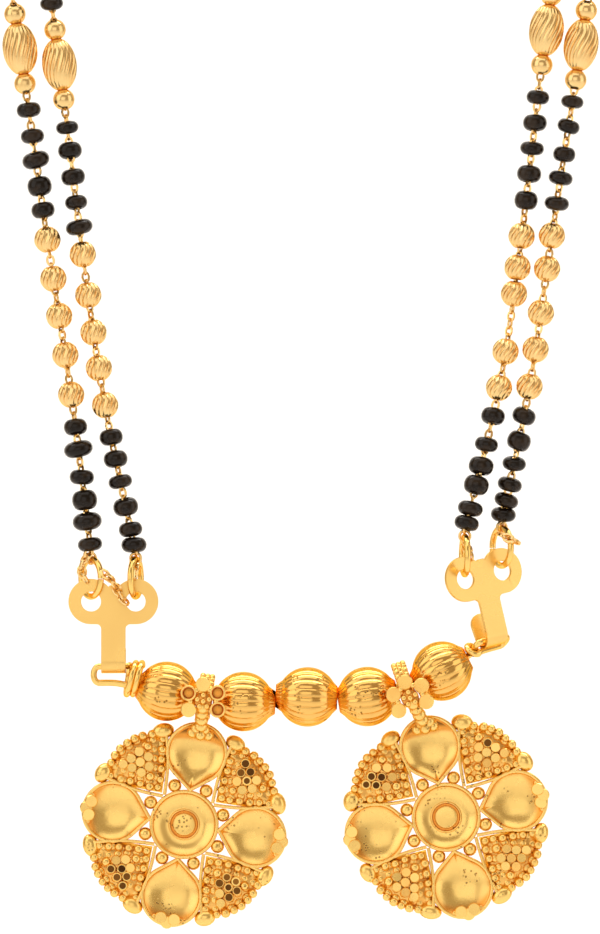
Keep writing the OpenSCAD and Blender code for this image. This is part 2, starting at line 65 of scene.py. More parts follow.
bl_info = {
    "name": "Mangalsutra",
    "version": (1, 0, 0),
    "blender": (4, 5, 0),
    "location": "View3D > Sidebar > Mangalsutra",
    "description": "Two gold and black bead strands with a wire bar and two granulated pendants",
    "category": "Add Mesh",
}

MM = 0.001
STRANDS = "strands_and_bar"

# Millimetres: the plane in which the strands hang in front, and the middle of the neck
FRONT_Y = -75.0
NECK_MIDDLE = (0, -37.0, 0)

# Seeds of the random draws for the first strand and the first pendant; the second of each has the next one
BEAD_SEED = 3
PENDANT_SEED = 11

# Routes of the strands in millimetres, as the solids follow them: up the left front, the left half of the
# nape, which is mirrored for its right half, and down the right front. The rings hold their ends.
ROUTES = {
    "outer": {
        "rings": (1, 4),
        "up": [(-27.5, FRONT_Y, -177.2), (-30.3, FRONT_Y, -159), (-33.5, FRONT_Y, -136.7),
               (-38.1, FRONT_Y, -105), (-42.6, FRONT_Y, -72), (-46.4, -74, -45), (-48.2, -71.8, -32.7)],
        "nape": [(-49.5, -68, -22), (-50, -65.4, -17.4), (-50.5, -58.7, -9.9), (-50.5, -55, -7),
                 (-49.8, -46.8, -3.1), (-48, -38, -1), (-41, -21, -0.5), (-34.2, -12.7, -1.2),
                 (-24, -4.7, -1.8), (-15, -0.6, -2.2), (0, 1.6, -2.2)],
        "down": [(48, -71.8, -32.7), (46, -74, -45), (41.6, FRONT_Y, -72), (36.7, FRONT_Y, -105),
                 (32, FRONT_Y, -136.1), (28.6, FRONT_Y, -158.3), (26, FRONT_Y, -175.9)]},
    "inner": {
        "rings": (2, 3),
        "up": [(-23.6, FRONT_Y, -178.1), (-26.2, FRONT_Y, -160.5), (-28.9, FRONT_Y, -138.5),
               (-33.3, FRONT_Y, -105), (-38, FRONT_Y, -72), (-41.9, -73.5, -45), (-43.7, -70.8, -31.6)],
        "nape": [(-45, -66.5, -19.5), (-45.9, -60.9, -10.3), (-46, -54, -3.5), (-45.3, -45.8, 0.7),
                 (-43.7, -37, 3), (-37.3, -20.5, 4.2), (-31.8, -13.2, 3.9), (-22, -4.8, 3.2),
                 (-13.5, -0.5, 2.6), (0, 1.6, 2.2)],
        "down": [(43.4, -70.8, -31.6), (41.4, -73.5, -45), (37.2, FRONT_Y, -72), (32.4, FRONT_Y, -105),
                 (28, FRONT_Y, -134), (25.1, FRONT_Y, -158.1), (22.5, FRONT_Y, -175.8)]}}

# Distances from an end link to the beads that the photo shows, by kind
SHOWN = {
    "outer_left": {"round": (18.6, 23.3, 27.9, 32.3, 36.9), "ball": (55.3, 63.5), "oval": (59.4,),
                   "glass": (1.0, 6.2, 8.9, 14.8, 40.4, 43.2, 49.1, 52.2), "large": (3.7, 12.2, 46.3)},
    "inner_left": {"round": (17.6, 22.0, 26.2, 30.6, 35.4), "ball": (53.6, 61.8), "oval": (57.7,),
                   "glass": (0.95, 2.8, 5.5, 8.5, 11.2, 13.8, 41.5, 44.5, 47.6, 50.3), "large": (38.6,)},
    "inner_right": {"round": (17.2, 21.5, 28.3, 31.4, 35.1), "ball": (55.2, 63.4), "oval": (59.3,),
                    "glass": (0.9, 2.65, 5.5, 7.8, 10.4, 13.8, 39.3, 42.4, 45.4, 48.4, 51.4), "large": ()},
    "outer_right": {"round": (16.2, 20.6, 24.9, 30.1, 34.0), "ball": (52.4, 60.6), "oval": (56.5,),
                    "glass": (0.9, 2.6, 4.5, 7.0, 9.7, 12.7, 37.8, 40.8, 43.6, 46.9, 49.8), "large": ()}}

# Repeats of the pattern on each hidden half of a strand
HIDDEN_REPEATS = 3

# Hook plates, rings by their number, and how far an end link's middle lies over its ring's
PLATES = {"left": {"at": (-22.6, FRONT_Y, -201.2), "turn": 0.0, "lean": 0.0},
          "right": {"at": (20.57, FRONT_Y, -198.1), "turn": 31.0, "lean": -12.8}}
RING_ANGLES = {1: 32.0, 2: -15.0, 3: 8.0, 4: 28.0}
LINK_RISE = 2.275

# Pendants: the fluted beads beside the bail, the rosette's middle and turn, the flower's place from the bail
# and its turn, which of its discs are bowls, and the number of cut granules in each fan with a painted dark
# reflection
PENDANTS = {
    "left": {"beads": (1, 2), "at": (-14.36, -73.44, -227.25), "turn": 10.0,
             "flower": (-0.2, -3.5, -0.5), "flower_turn": 0.0, "cups": (150, 30, 330),
             "pits_and_painted_facets": (4, 0, 5, 6)},
    "right": {"beads": (4, 5), "at": (16.26, -73.44, -226.4), "turn": -13.0,
              "flower": (0.6, -3.5, -1.6), "flower_turn": -18.0, "cups": (), "pits_and_painted_facets": (1, 4, 0, 0)}}

# Fluted beads by number: tilt, and how far the left and the right neck reach from the middle
FLUTED = {1: (10.0, 3.5, 3.56), 2: (2.0, 3.56, 3.74), 3: (2.0, 3.74, 3.48), 4: (-9.0, 3.48, 3.5),
          5: (-27.0, 3.6, 3.45)}

# The bar's loops under the hooks, its wraps beside the left one and its closing turns at the right one
SEAT = (0, 1.25, -7.605)
LOOP = {"reach": 1.915, "start": 1.715, "bulge": 0.6, "height": 1.9}
WRAP = {"turns": 2.1, "steps": 9, "radius": 1.83, "pitch": 0.73, "lean": 0.36, "from_seat": (1.88, 0, -1.42)}
CLOSE = {"radius": 0.81, "steps": 9, "start": -60, "turn": 330, "rise": (1.05, 0.3),
         "from_bead": (3.35, 0, 2.0)}

# Routes of the loose chain ends beside the hook plates, each from its ring down, in millimetres
LOOSE_ENDS = [
    [(-25.3, -75.3, -195.3), (-26.1, -75.9, -196.6), (-26.3, -76.0, -197.8), (-25.7, -75.9, -198.8)],
    [(-23.8, -76.9, -197.8), (-22.7, -76.2, -198.8), (-22.1, -76.0, -199.9), (-21.8, -76.0, -200.7),
     (-21.1, -75.9, -201.3)],
    [(-20.2, -74.9, -196.3), (-20.0, -75.6, -197.2), (-20.1, -75.9, -198.4)],
    [(18.2, -75.2, -194.2), (18.9, -76.0, -195.4), (19.2, -76.1, -196.2)],
    [(22.6, -75.2, -193.4), (23.7, -75.9, -193.9), (24.8, -76.1, -194.4)]]

# Plated golds: colour, roughness, depth and size of the waves in millimetres, darkness of the pits
GOLDS = {
    "Chain gold": ("pale", 0.2, 0.01, 1.2, 0.0),
    "Wire gold": ("bright", 0.18, 0.02, 2.0, 0.0),
    "Cut gold": ("pale", 0.22, 0.02, 1.2, 0.0),
    "Bead gold": ("rich", 0.15, 0.07, 1.6, 0.9),
    "Face gold": ("bright", 0.24, 0.015, 1.2, 0.0),
    "Plate gold": ("sheet", 0.26, 0.012, 4.0, 0.0),
    "Pendant gold": ("bright", 0.26, 0.05, 1.4, 0.75)}
# Near black that the gold takes where its shade passes 1: painted shade inside the bowls and painted dark
# reflections on cut granules
PAINTED_NEAR_BLACK = (0.07, 0.028, 0.008, 1.0)
PITTED = (0.24, 0.11, 0.02, 1.0)

# Soft lights: place, target and size in metres, and power
FRONT = (0.0, -0.075, -0.19)
LAMPS = {
    "front_light": ((-0.25, -2.1, 0.15), FRONT, (1.7, 1.3), 5.4),
    "left_light": ((-1.6, -0.9, 0.5), FRONT, (1.5, 2.0), 9.5),
    "right_light": ((1.7, -0.6, 0.1), FRONT, (1.3, 2.0), 7.3),
    "top_light": ((0.0, -0.4, 1.5), FRONT, (2.0, 1.6), 10.5),
    "wall_light": ((0.0, 0.35, 1.6), (0.0, 1.5, -0.3), (3.0, 0.6), 30.0)}


# Shapes: each is (points with their shade, faces), a face of three having -1 as its fourth corner

# The shade of a point is painted shade: the gold deepens in colour where it is high, in grooves, recesses,
# bores, necks and under other parts, and turns near black past 1; some pieces add a random tone to it.
def grid(points, shade=0.0, close_u=False, close_v=False):
    """Rows and columns of points joined by four-sided faces, a closed way joining last to first. The faces
    look out where rows climb an axis and columns turn left round it."""
    rows, columns = points.shape[:2]
    u = np.arange(rows if close_u else rows - 1)
    v = np.arange(columns if close_v else columns - 1)
    u, v = np.meshgrid(u, v, indexing="ij")
    u2, v2 = (u + 1) % rows, (v + 1) % columns
    faces = np.stack([u * columns + v, u * columns + v2, u2 * columns + v2, u2 * columns + v], -1)
    shades = np.broadcast_to(shade, (rows, columns)).reshape(-1, 1)
    return np.hstack([points.reshape(-1, 3), shades]), faces.reshape(-1, 4)


def cap(shape, first, count, top, shade=0.0, flip=False):
    """A fan of triangles from one added point to a closed row that starts at a given corner."""
    points, faces = shape
    k = np.arange(count)
    row = np.stack([first + k, first + (k + 1) % count], -1)
    if flip:
        row = row[:, ::-1]
    fan = np.column_stack([row, np.full(count, len(points)), np.full(count, -1)])
    return np.vstack([points, [*top, shade]]), np.vstack([faces, fan])


def joined(shapes):
    """Several shapes as one, each one's corners counted on from the last."""
    start = np.cumsum([0] + [len(points) for points, _ in shapes[:-1]])
    faces = [np.where(f >= 0, f + s, -1) for (_, f), s in zip(shapes, start)]
    return np.vstack([points for points, _ in shapes]), np.vstack(faces)


def stamped(shape, axes, places, shade=0.0):
    """A shape repeated at each place, its axes being the columns of that place's matrix."""
    points, faces = shape
    count = len(places)
    moved = np.einsum("nij,kj->nki", axes, points[:, :3]) + np.asarray(places)[:, None, :]
    shades = points[None, :, 3:] + np.reshape(np.broadcast_to(shade, count), (count, 1, 1))
    out = np.concatenate([moved, np.broadcast_to(shades, (count, len(points), 1))], -1)
    steps = (np.arange(count) * len(points))[:, None, None]
    return out.reshape(-1, 4), np.where(faces >= 0, faces + steps, -1).reshape(-1, 4)


def upright(count):
    """Axes of shapes that stand as they are."""
    return np.broadcast_to(np.eye(3), (count, 3, 3))


def copies(shape, places, shade=0.0):
    """A shape repeated as it stands at each place."""
    return stamped(shape, upright(len(places)), places, shade)


def placed(shape, axes, place=(0, 0, 0)):
    """A shape with its three axes turned to new directions and moved."""
    points, faces = shape
    return np.hstack([points[:, :3] @ np.asarray(axes).T + place, points[:, 3:]]), faces


def around(sides, turn=0.0):
    """Angles of a full circle."""
    return turn + np.arange(sides) * 2 * math.pi / sides


def polar(r, a, z):
    """Points at a distance from Z, an angle round it and a height, which are broadcast together."""
    return np.stack(np.broadcast_arrays(r * np.cos(a), r * np.sin(a), z), -1)


def bored(r, a, z, shade=0.0):
    """Rows of points round Z, of which the last one joins the first through a bore."""
    return grid(polar(r, a, z), shade, close_u=True, close_v=True)


def lathe(radii, heights, sides, shades=0.0):
    """A profile of radii and heights turned round Z; an end of radius zero closes in one point."""
    radii, heights = np.asarray(radii, float), np.asarray(heights, float)
    shades = np.broadcast_to(shades, radii.shape).astype(float)
    start, stop = int(radii[0] == 0), len(radii) - int(radii[-1] == 0)
    points = polar(radii[start:stop, None], around(sides), heights[start:stop, None])
    shape = grid(points, shades[start:stop, None], close_v=True)
    if start:
        shape = cap(shape, 0, sides, (0, 0, heights[0]), shades[0], flip=True)
    if stop < len(radii):
        shape = cap(shape, (stop - start - 1) * sides, sides, (0, 0, heights[-1]), shades[-1])
    return shape


def unit(v):
    """Vectors of length one."""
    v = np.asarray(v, float)
    return v / np.linalg.norm(v, axis=-1, keepdims=True)


def square_to(ahead, v):
    """Unit vectors: v less its part along ahead."""
    return unit(v - (v * ahead).sum(-1, keepdims=True) * ahead)


def spline(points, per):
    """A smooth curve through every point: on each stretch the cubic that leaves its ends along the line
    between their neighbours."""
    p = np.asarray(points, float)
    stretch = np.arange(len(p) - 1)
    a, b, c, d = (p[np.clip(stretch + k, 0, len(p) - 1)][:, None, :] for k in (-1, 0, 1, 2))
    t = (np.arange(per) / per)[None, :, None]
    curve = b + 0.5 * ((c - a) * t + (2 * a - 5 * b + 4 * c - d) * t ** 2 + (3 * b - a - 3 * c + d) * t ** 3)
    return np.vstack([curve.reshape(-1, 3), p[-1:]])


def lengths(path):
    """Distance of each point of a path from its start."""
    return np.concatenate([[0], np.cumsum(np.linalg.norm(np.diff(path, axis=0), axis=1))])


def along(path, distance, s):
    """Points of a path at given distances."""
    return np.stack([np.interp(s, distance, column) for column in np.transpose(path)], -1)


def carried(ahead):
    """Sideways axes for the directions of a path, each one the last made square to its direction."""
    side = np.empty_like(ahead)
    last = np.array((0.1, 1.0, 0.2))
    for i, direction in enumerate(ahead):
        side[i] = last = square_to(direction, last)
    return side


def tube(path, radius, sides, closed=False, side=None, shade=0.0):
    """A circle carried along a path; open ends are closed by flat fans."""
    if closed:
        ahead = unit(np.roll(path, -1, 0) - np.roll(path, 1, 0))
    else:
        ahead = unit(np.gradient(path, axis=0))
    side = carried(ahead) if side is None else square_to(ahead, side)
    other = np.cross(ahead, side)
    a = around(sides)[None, :, None]
    points = path[:, None] + radius * (np.cos(a) * side[:, None] + np.sin(a) * other[:, None])
    shape = grid(points, shade, close_u=closed, close_v=True)
    if closed:
        return shape
    shape = cap(shape, 0, sides, path[0], flip=True)
    return cap(shape, (len(path) - 1) * sides, sides, path[-1])


def about_z(degrees):
    """The matrix of a turn about Z, whose columns are the turned axes."""
    c, s = math.cos(math.radians(degrees)), math.sin(math.radians(degrees))
    return np.array([[c, -s, 0], [s, c, 0], [0, 0, 1]])


def about_y(degrees):
    """The matrix of a turn about Y that leans the top to the right."""
    c, s = math.cos(math.radians(degrees)), math.sin(math.radians(degrees))
    return np.array([[c, 0, s], [0, 1, 0], [-s, 0, c]])


def beaded(radius, rings, sides):
    """A small ball: circles of latitude with a point at each pole."""
    a = np.linspace(0, math.pi, rings)
    radii = radius * np.sin(a)
    radii[[0, -1]] = 0
    return lathe(radii, -radius * np.cos(a), sides)


# Pieces: a shape becomes an object at the origin that rides on a body

def added(name, data):
    """A new object in the scene."""
    made = bpy.data.objects.new(name, data)
    bpy.context.scene.collection.objects.link(made)
    return made


def plain(name, shape, finish, flat_angle=40.0):
    """A shape in millimetres as an object in metres, smooth but for edges sharper than an angle."""
    points, faces = shape
    corners = (faces >= 0).sum(1)
    mesh = bpy.data.meshes.new(name)
    mesh.vertices.add(len(points))
    mesh.vertices.foreach_set("co", (points[:, :3] * MM).astype(np.float32).ravel())
    mesh.loops.add(int(corners.sum()))
    mesh.loops.foreach_set("vertex_index", faces[faces >= 0].astype(np.int32))
    mesh.polygons.add(len(faces))
    mesh.polygons.foreach_set("loop_start", np.concatenate([[0], np.cumsum(corners)[:-1]]).astype(np.int32))
    mesh.update(calc_edges=True)
    mesh.validate()
    # The painted shade, with any random tone, goes to the mesh as its shade attribute.
    shade = mesh.attributes.new("shade", "FLOAT", "POINT")
    shade.data.foreach_set("value", points[:, 3].astype(np.float32))
    mesh.polygons.foreach_set("use_smooth", np.ones(len(mesh.polygons), bool))
    mesh.set_sharp_from_angle(angle=math.radians(flat_angle))
    mesh.materials.append(finish)
    return added(name, mesh)


def piece(name, shape, finish, body, flat_angle, replaces=()):
    """A shape that rides on a body and takes the place of solids."""
    made = plain(name, shape, finish, flat_angle)
    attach(made, body)
    if replaces:
        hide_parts(*replaces)


# Finishes

class Value:
    """A shader socket: arithmetic on it adds the Math nodes that work it out."""

    def __init__(self, finish, socket):
        self.finish = finish
        self.socket = socket

    def math(self, operation, *inputs):
        """One Math node on up to three values."""
        made = self.finish.node("ShaderNodeMath", {"operation": operation}, dict(enumerate(inputs)))
        return Value(self.finish, made.outputs[0])

    def __add__(self, other):
        return self.math("ADD", self, other)

    def __sub__(self, other):
        return self.math("SUBTRACT", self, other)

    def __mul__(self, other):
        return self.math("MULTIPLY", self, other)

    def __rsub__(self, other):
        return self.math("SUBTRACT", other, self)

    __radd__ = __add__
    __rmul__ = __mul__

    def ramp(self, low, high):
        """0 below low, 1 above high and a smooth rise between them."""
        made = self.finish.node("ShaderNodeMapRange", {"interpolation_type": "SMOOTHSTEP"},
                                {"Value": self, "From Min": low, "From Max": high})
        return Value(self.finish, made.outputs[0])


class Finish:
    """A material: its nodes are added by one method, and its surface is one Principled shader."""

    def __init__(self, name):
        self.material = bpy.data.materials.new(name)
        self.material.use_nodes = True
        self.tree = self.material.node_tree
        self.tree.nodes.clear()
        self.coordinates = self.node("ShaderNodeTexCoord").outputs["Object"]

    def node(self, kind, settings=None, inputs=None):
        """Adds a node: first its settings, then the values or links of its sockets."""
        made = self.tree.nodes.new(kind)
        for name, value in (settings or {}).items():
            setattr(made, name, value)
        for name, value in (inputs or {}).items():
            socket = value.socket if isinstance(value, Value) else value
            if isinstance(socket, bpy.types.NodeSocket):
                self.tree.links.new(socket, made.inputs[name])
            else:
                made.inputs[name].default_value = socket
        return made

    def attribute(self, name):
        """A number that the mesh holds at each point."""
        return Value(self, self.node("ShaderNodeAttribute", {"attribute_name": name}).outputs["Fac"])

    def noise(self, size_mm, detail=2.0, roughness=0.5):
        """Cloudy noise from 0 to 1 whose lumps have a real size."""
        made = self.node("ShaderNodeTexNoise", {"noise_dimensions": "3D"}, {
            "Vector": self.coordinates, "Scale": 1 / (size_mm * MM), "Detail": detail,
            "Roughness": roughness})
        return Value(self, made.outputs["Fac"])

    def spots(self, size_mm, share):
        """Small round spots, one in each cell of a real size, as a mask."""
        made = self.node("ShaderNodeTexVoronoi", {"feature": "F1"}, {
            "Vector": self.coordinates, "Scale": 1 / (size_mm * MM)})
        return 1.0 - Value(self, made.outputs["Distance"]).ramp(share * 0.6, share)

    def mixed(self, mask, first, second):
        """Two colours, the second where the mask is 1."""
        made = self.node("ShaderNodeMix", {"data_type": "RGBA"}, {0: mask, 6: first, 7: second})
        return made.outputs[2]

    def bump(self, height, depth_mm):
        """A normal that follows a height of some real depth."""
        inputs = {"Height": height, "Distance": depth_mm * MM, "Strength": 1.0}
        return self.node("ShaderNodeBump", None, inputs).outputs["Normal"]

    def surface(self, **sockets):
        """Ends the material in a Principled shader with the given sockets."""
        shader = self.node("ShaderNodeBsdfPrincipled", None,
                           {name.replace("_", " "): value for name, value in sockets.items()})
        self.node("ShaderNodeOutputMaterial", None, {"Surface": shader.outputs[0]})
        return self.material


def gold(name, colour, deep, edge, roughness, waves, wave_size, pits_and_painted_facets):
    """Plated gold with painted shade: deeper in colour where the mesh's shade is high and near black where
    it passes 1, with a cloudy tone, soft waves, fine wear and a few dark, pitted spots."""
    wear = 0.25
    f = Finish(name)
    amount = f.attribute("shade")
    shade = amount.ramp(0.0, 1.0)
    cloud = f.noise(wave_size * 2.2, 3.0)
    scratch = f.noise(0.16, 2.0, 0.6)
    # Painted shade: the mesh's shade, with a cloudy tone that varies at random, mixes the gold towards the
    # deep colour
    tone = (shade + (cloud - 0.5) * 0.5).ramp(0.0, 1.0)
    base = f.mixed(tone, (*colour, 1.0), (*deep, 1.0))
    # Painted shade past 1 turns the gold near black
    base = f.mixed(amount.ramp(1.0, 2.0), base, PAINTED_NEAR_BLACK)
    rough = roughness + cloud.ramp(0.45, 0.75) * wear * 0.3 + scratch.ramp(0.62, 0.8) * wear * 0.3
    height = f.noise(wave_size, 2.0) * 0.8 + scratch * 0.06
    if pits_and_painted_facets:
        spot = f.spots(0.42, 0.36) * f.noise(2.4, 1.0).ramp(0.55, 0.63)
        base = f.mixed(spot * pits_and_painted_facets, base, PITTED)
        height = height - spot * 0.5
    return f.surface(Base_Color=base, Metallic=1.0, Roughness=rough, Specular_Tint=(*edge, 1.0),
                     Normal=f.bump(height, waves))


def glass(name):
    """Black glass: near black with a brown cast, a clear gloss and slightly uneven surface."""
    f = Finish(name)
    cloud = f.noise(1.4, 2.0)
    base = f.mixed(cloud.ramp(0.35, 0.7), (0.007, 0.004, 0.0025, 1.0), (0.026, 0.015, 0.008, 1.0))
    return f.surface(Base_Color=base, Metallic=0.0, Roughness=0.13 + cloud * 0.12, IOR=1.45,
                     Specular_IOR_Level=0.3, Normal=f.bump(cloud, 0.03))


def paper(name):
    """White paper that is seen from its front only."""
    f = Finish(name)
    back = Value(f, f.node("ShaderNodeNewGeometry").outputs["Backfacing"])
    return f.surface(Base_Color=(0.93, 0.93, 0.93, 1.0), Roughness=0.9, Alpha=1.0 - back)


# Sizes and colours that a user would change

def length(name, mm, description):
    """A length property, given in millimetres and kept in metres."""
    return bpy.props.FloatProperty(name=name, description=description, default=mm * MM, min=0.0,
                                   precision=5, unit="LENGTH", subtype="DISTANCE")


def colour(name, value, description):
    """A colour property in linear light."""
    return bpy.props.FloatVectorProperty(name=name, description=description, default=value, size=3,
                                         min=0.0, max=1.0, subtype="COLOR")


class StrandSizes(bpy.types.PropertyGroup):
    """Sizes of the chains and of what is strung on them."""

    link_length: length("Link length", 1.5, "Outer length of a chain link")
    link_width: length("Link width", 1.08, "Outer width of a chain link")
    link_wire: length("Link wire", 0.3, "Thickness of a chain link's wire")
    end_link_d: length("End link", 1.26, "Diameter of an end link over its wire's middle")
    end_link_wire: length("End link wire", 0.32, "Thickness of an end link's wire")
    glass_d: length("Glass bead", 2.62, "Diameter of a black glass bead")
    glass_h: length("Glass bead length", 1.55, "Length of a black glass bead along the chain")
    large_glass: bpy.props.FloatProperty(name="Large glass bead", default=1.2, min=1.0, max=1.4,
                                         description="Size of a large glass bead as a share of a usual one")
    glass_bore: length("Glass bore", 1.15, "Bore of a black glass bead")
    ball_d: length("Ball", 2.5, "Diameter of a plain gold ball")
    round_d: length("Round bead", 3.1, "Diameter of a cut round bead")
    oval_d: length("Oval bead", 4.05, "Diameter of a cut oval bead")
    oval_length: length("Oval length", 6.2, "Length of a cut oval bead")
    gold_bore: length("Gold bore", 1.15, "Bore of a gold bead")
    oval_pitch: length("Oval pitch", 4.1, "Distance from an oval bead to the ball beside it")
    round_pitch: length("Round pitch", 4.45, "Distance between two round beads")
    half_repeat: length("Half repeat", 31.6,
                        "Distance from the middle of a run of round beads to the next oval")
    glass_run: length("Glass run", 12.2, "Length of a hidden run of five glass beads")
    glass_start: length("Glass start", 7.2, "Distance from an oval bead to the first glass bead of a run")


class BarSizes(bpy.types.PropertyGroup):
    """Sizes of the rings, the bar wire and the fluted beads."""

    ring_d: length("Jump ring", 4.4, "Diameter of a jump ring over its wire's middle")
    ring_wire: length("Ring wire", 0.74, "Thickness of a jump ring's wire")
    wire_d: length("Bar wire", 0.75, "Thickness of the bar wire")
    bead_d: length("Fluted bead", 7.0, "Diameter of a fluted bead")
    bead_bore: length("Fluted bore", 2.0, "Bore of a fluted bead")
    flute_depth: length("Flute depth", 0.12, "Depth of a flute")
    flutes: bpy.props.IntProperty(name="Flutes", default=20, min=12, max=30,
                                  description="Number of flutes round a bead")
    edge: length("Plate edge", 0.05, "Roundness of the hook plates' edges")


class PendantSizes(bpy.types.PropertyGroup):
    """Sizes of the two rosettes and their bails."""

    rosette_d: length("Rosette", 24.2, "Diameter of a rosette")
    cup_r: length("Centre cup", 4.05, "Radius of the centre cup")
    petal_r: length("Petal", 3.65, "Radius of a petal's round end")
    rim_h: length("Rim height", 0.95, "Height of the rims over the middle plane")
    back_h: length("Back", 0.5, "Depth of the back behind the middle plane")
    rim_wire: length("Rim wire", 0.42, "Thickness of the wires round petals, cup and fans")
    granule_d: length("Granule", 1.18, "Diameter of a granule of the fans")
    knob_d: length("Knob", 1.9, "Diameter of a knob on the rosette's edge")
    disc_d: length("Bail disc", 1.8, "Diameter of a disc of the bail flower")
    disc_ring_r: length("Disc ring", 1.95, "Distance from the flower's middle to a disc's")
    barrel_d: length("Barrel", 5.0, "Outer diameter of a bail's barrel")
    barrel_length: length("Barrel length", 1.7, "Length of a bail's barrel")


class FinishColours(bpy.types.PropertyGroup):
    """Colours of the plated gold."""

    bright: colour("Bright gold", (0.95, 0.65, 0.205), "Colour of the polished gold")
    pale: colour("Pale gold", (0.9, 0.64, 0.285), "Colour of the cut gold")
    sheet: colour("Sheet gold", (0.89, 0.59, 0.19), "Colour of the hook plates")
    rich: colour("Rich gold", (0.88, 0.53, 0.15), "Colour of the fluted beads")
    # The deep colour is painted shade, which the gold takes in its grooves, corners, bores and necks
    deep: colour("Deep gold", (0.79, 0.33, 0.055), "Colour of the gold in grooves and corners")
    edge: colour("Edge gold", (0.95, 0.52, 0.14), "Tint of the gold where it is seen at a slant")


class StageSizes(bpy.types.PropertyGroup):
    """The camera, the floor and the wall."""

    distance: length("Camera distance", 1400.0, "Distance from the camera to the front of the strands")
    floor_z: length("Floor depth", 620.0, "Depth of the floor below the nape")
    wall_y: length("Wall distance", 1500.0, "Distance of the wall behind the nape")


def own(group):
    """The properties that a group's class adds."""
    return [prop for prop in group.bl_rna.properties if prop.identifier not in ("rna_type", "name")]


def millimetres(group):
    """A property group's values by name, its lengths turned into millimetres."""
    values = {}
    for prop in own(group):
        value = getattr(group, prop.identifier)
        values[prop.identifier] = value / MM if getattr(prop, "unit", "NONE") == "LENGTH" else value
    return types.SimpleNamespace(**values)


# Places and axes that the strands, the rings, the bar and the pendants share

def middle(node):
    """The middle of a solid's box, in millimetres."""
    low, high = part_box(node)
    return (np.asarray(low) + np.asarray(high)) / 2 / MM


def plate_axes(side):
    """Axes of a hook plate as it hangs."""
    return about_y(PLATES[side]["lean"]) @ about_z(PLATES[side]["turn"])


def strand(name, sizes):
    """Path of a strand through its points, with its distances, from the top of one end link to the other."""
    route = ROUTES[name]
    first, last = (middle(f"ring_{i}") + (0, 0, LINK_RISE + sizes.end_link_d / 2) for i in route["rings"])
    nape = np.array(route["nape"])
    points = [first, *route["up"], *nape, *(nape[-2::-1] * (-1, 1, 1)), *route["down"], last]
    path = spline(points, 12)
    return path, lengths(path)


def strung(name, sizes, whole):
    """Distances of a strand's beads by kind: the ones shown, and the repeats of their pattern that lead
    evenly from the first oval on each side to the run of round beads at the nape."""
    half = whole / 2
    five = np.arange(-2, 3) * sizes.round_pitch
    run = sizes.glass_start + np.linspace(0, sizes.glass_run, 5)
    beads = {"round": [half + five], "ball": [], "oval": [], "glass": [], "large": []}
    for side in ("left", "right"):
        shown = SHOWN[f"{name}_{side}"]
        ovals = np.linspace(shown["oval"][0], half - sizes.half_repeat, HIDDEN_REPEATS + 1)[:, None]
        hidden = {"round": ovals[1:] - sizes.half_repeat + five, "oval": ovals[1:], "large": (),
                  "ball": ovals[1:] + (-sizes.oval_pitch, sizes.oval_pitch),
                  "glass": np.vstack([ovals + run, ovals[1:] - run])}
        for kind, places in hidden.items():
            places = np.concatenate([shown[kind], np.ravel(places)])
            beads[kind].append(places if side == "left" else whole - places)
    return {kind: np.sort(np.concatenate(places)) for kind, places in beads.items()}


def strand_axes(path, distance, places, half_length):
    """Middles of beads and their axes: the third along the chord that the bead covers, the first away from
    the neck."""
    a, b = along(path, distance, places - half_length), along(path, distance, places + half_length)
    ahead = unit(b - a)
    at = (a + b) / 2
    side = square_to(ahead, (at - NECK_MIDDLE) * (1, 1, 0))
    return at, np.stack([side, np.cross(ahead, side), ahead], -1)


def spun(axes, angles):
    """Axes turned about their third one."""
    c, s = np.cos(angles)[:, None], np.sin(angles)[:, None]
    return np.stack([c * axes[:, :, 0] + s * axes[:, :, 1], c * axes[:, :, 1] - s * axes[:, :, 0],
                     axes[:, :, 2]], -1)


def tipped(axes, angles, towards):
    """Axes whose third one leans towards a direction in the plane of the first two."""
    lean = np.cos(towards)[:, None] * axes[:, :, 0] + np.sin(towards)[:, None] * axes[:, :, 1]
    ahead = unit(np.cos(angles)[:, None] * axes[:, :, 2] + np.sin(angles)[:, None] * lean)
    side = square_to(ahead, axes[:, :, 0])
    return np.stack([side, np.cross(ahead, side), ahead], -1)


def nudged(count, degrees, chance):
    """Axes of shapes that stand almost upright, each leaned its own way."""
    way = chance.uniform(0, 2 * math.pi, count)
    return tipped(upright(count), np.radians(chance.uniform(0.2, 1, count) * degrees), way)


def scaled(axes, sizes):
    """Axes stretched by one factor for each shape."""
    return axes * np.asarray(sizes, float)[:, None, None]


def circle(centre, flat, radius, a):
    """Points of an upright circle that starts along a level direction."""
    return centre + radius * (np.cos(a)[:, None] * flat + np.sin(a)[:, None] * (0, 0, 1.0))


# Strands

def oval_link(sizes):
    """A link along Z: a round wire carried round an ellipse in the XZ plane."""
    a = around(10)
    reach = (sizes.link_width - sizes.link_wire) / 2
    rise = (sizes.link_length - sizes.link_wire) / 2
    path = np.stack([reach * np.cos(a), 0 * a, rise * np.sin(a)], -1)
    side = np.broadcast_to((0.0, 1.0, 0.0), path.shape)
    return tube(path, sizes.link_wire / 2, 5, closed=True, side=side)


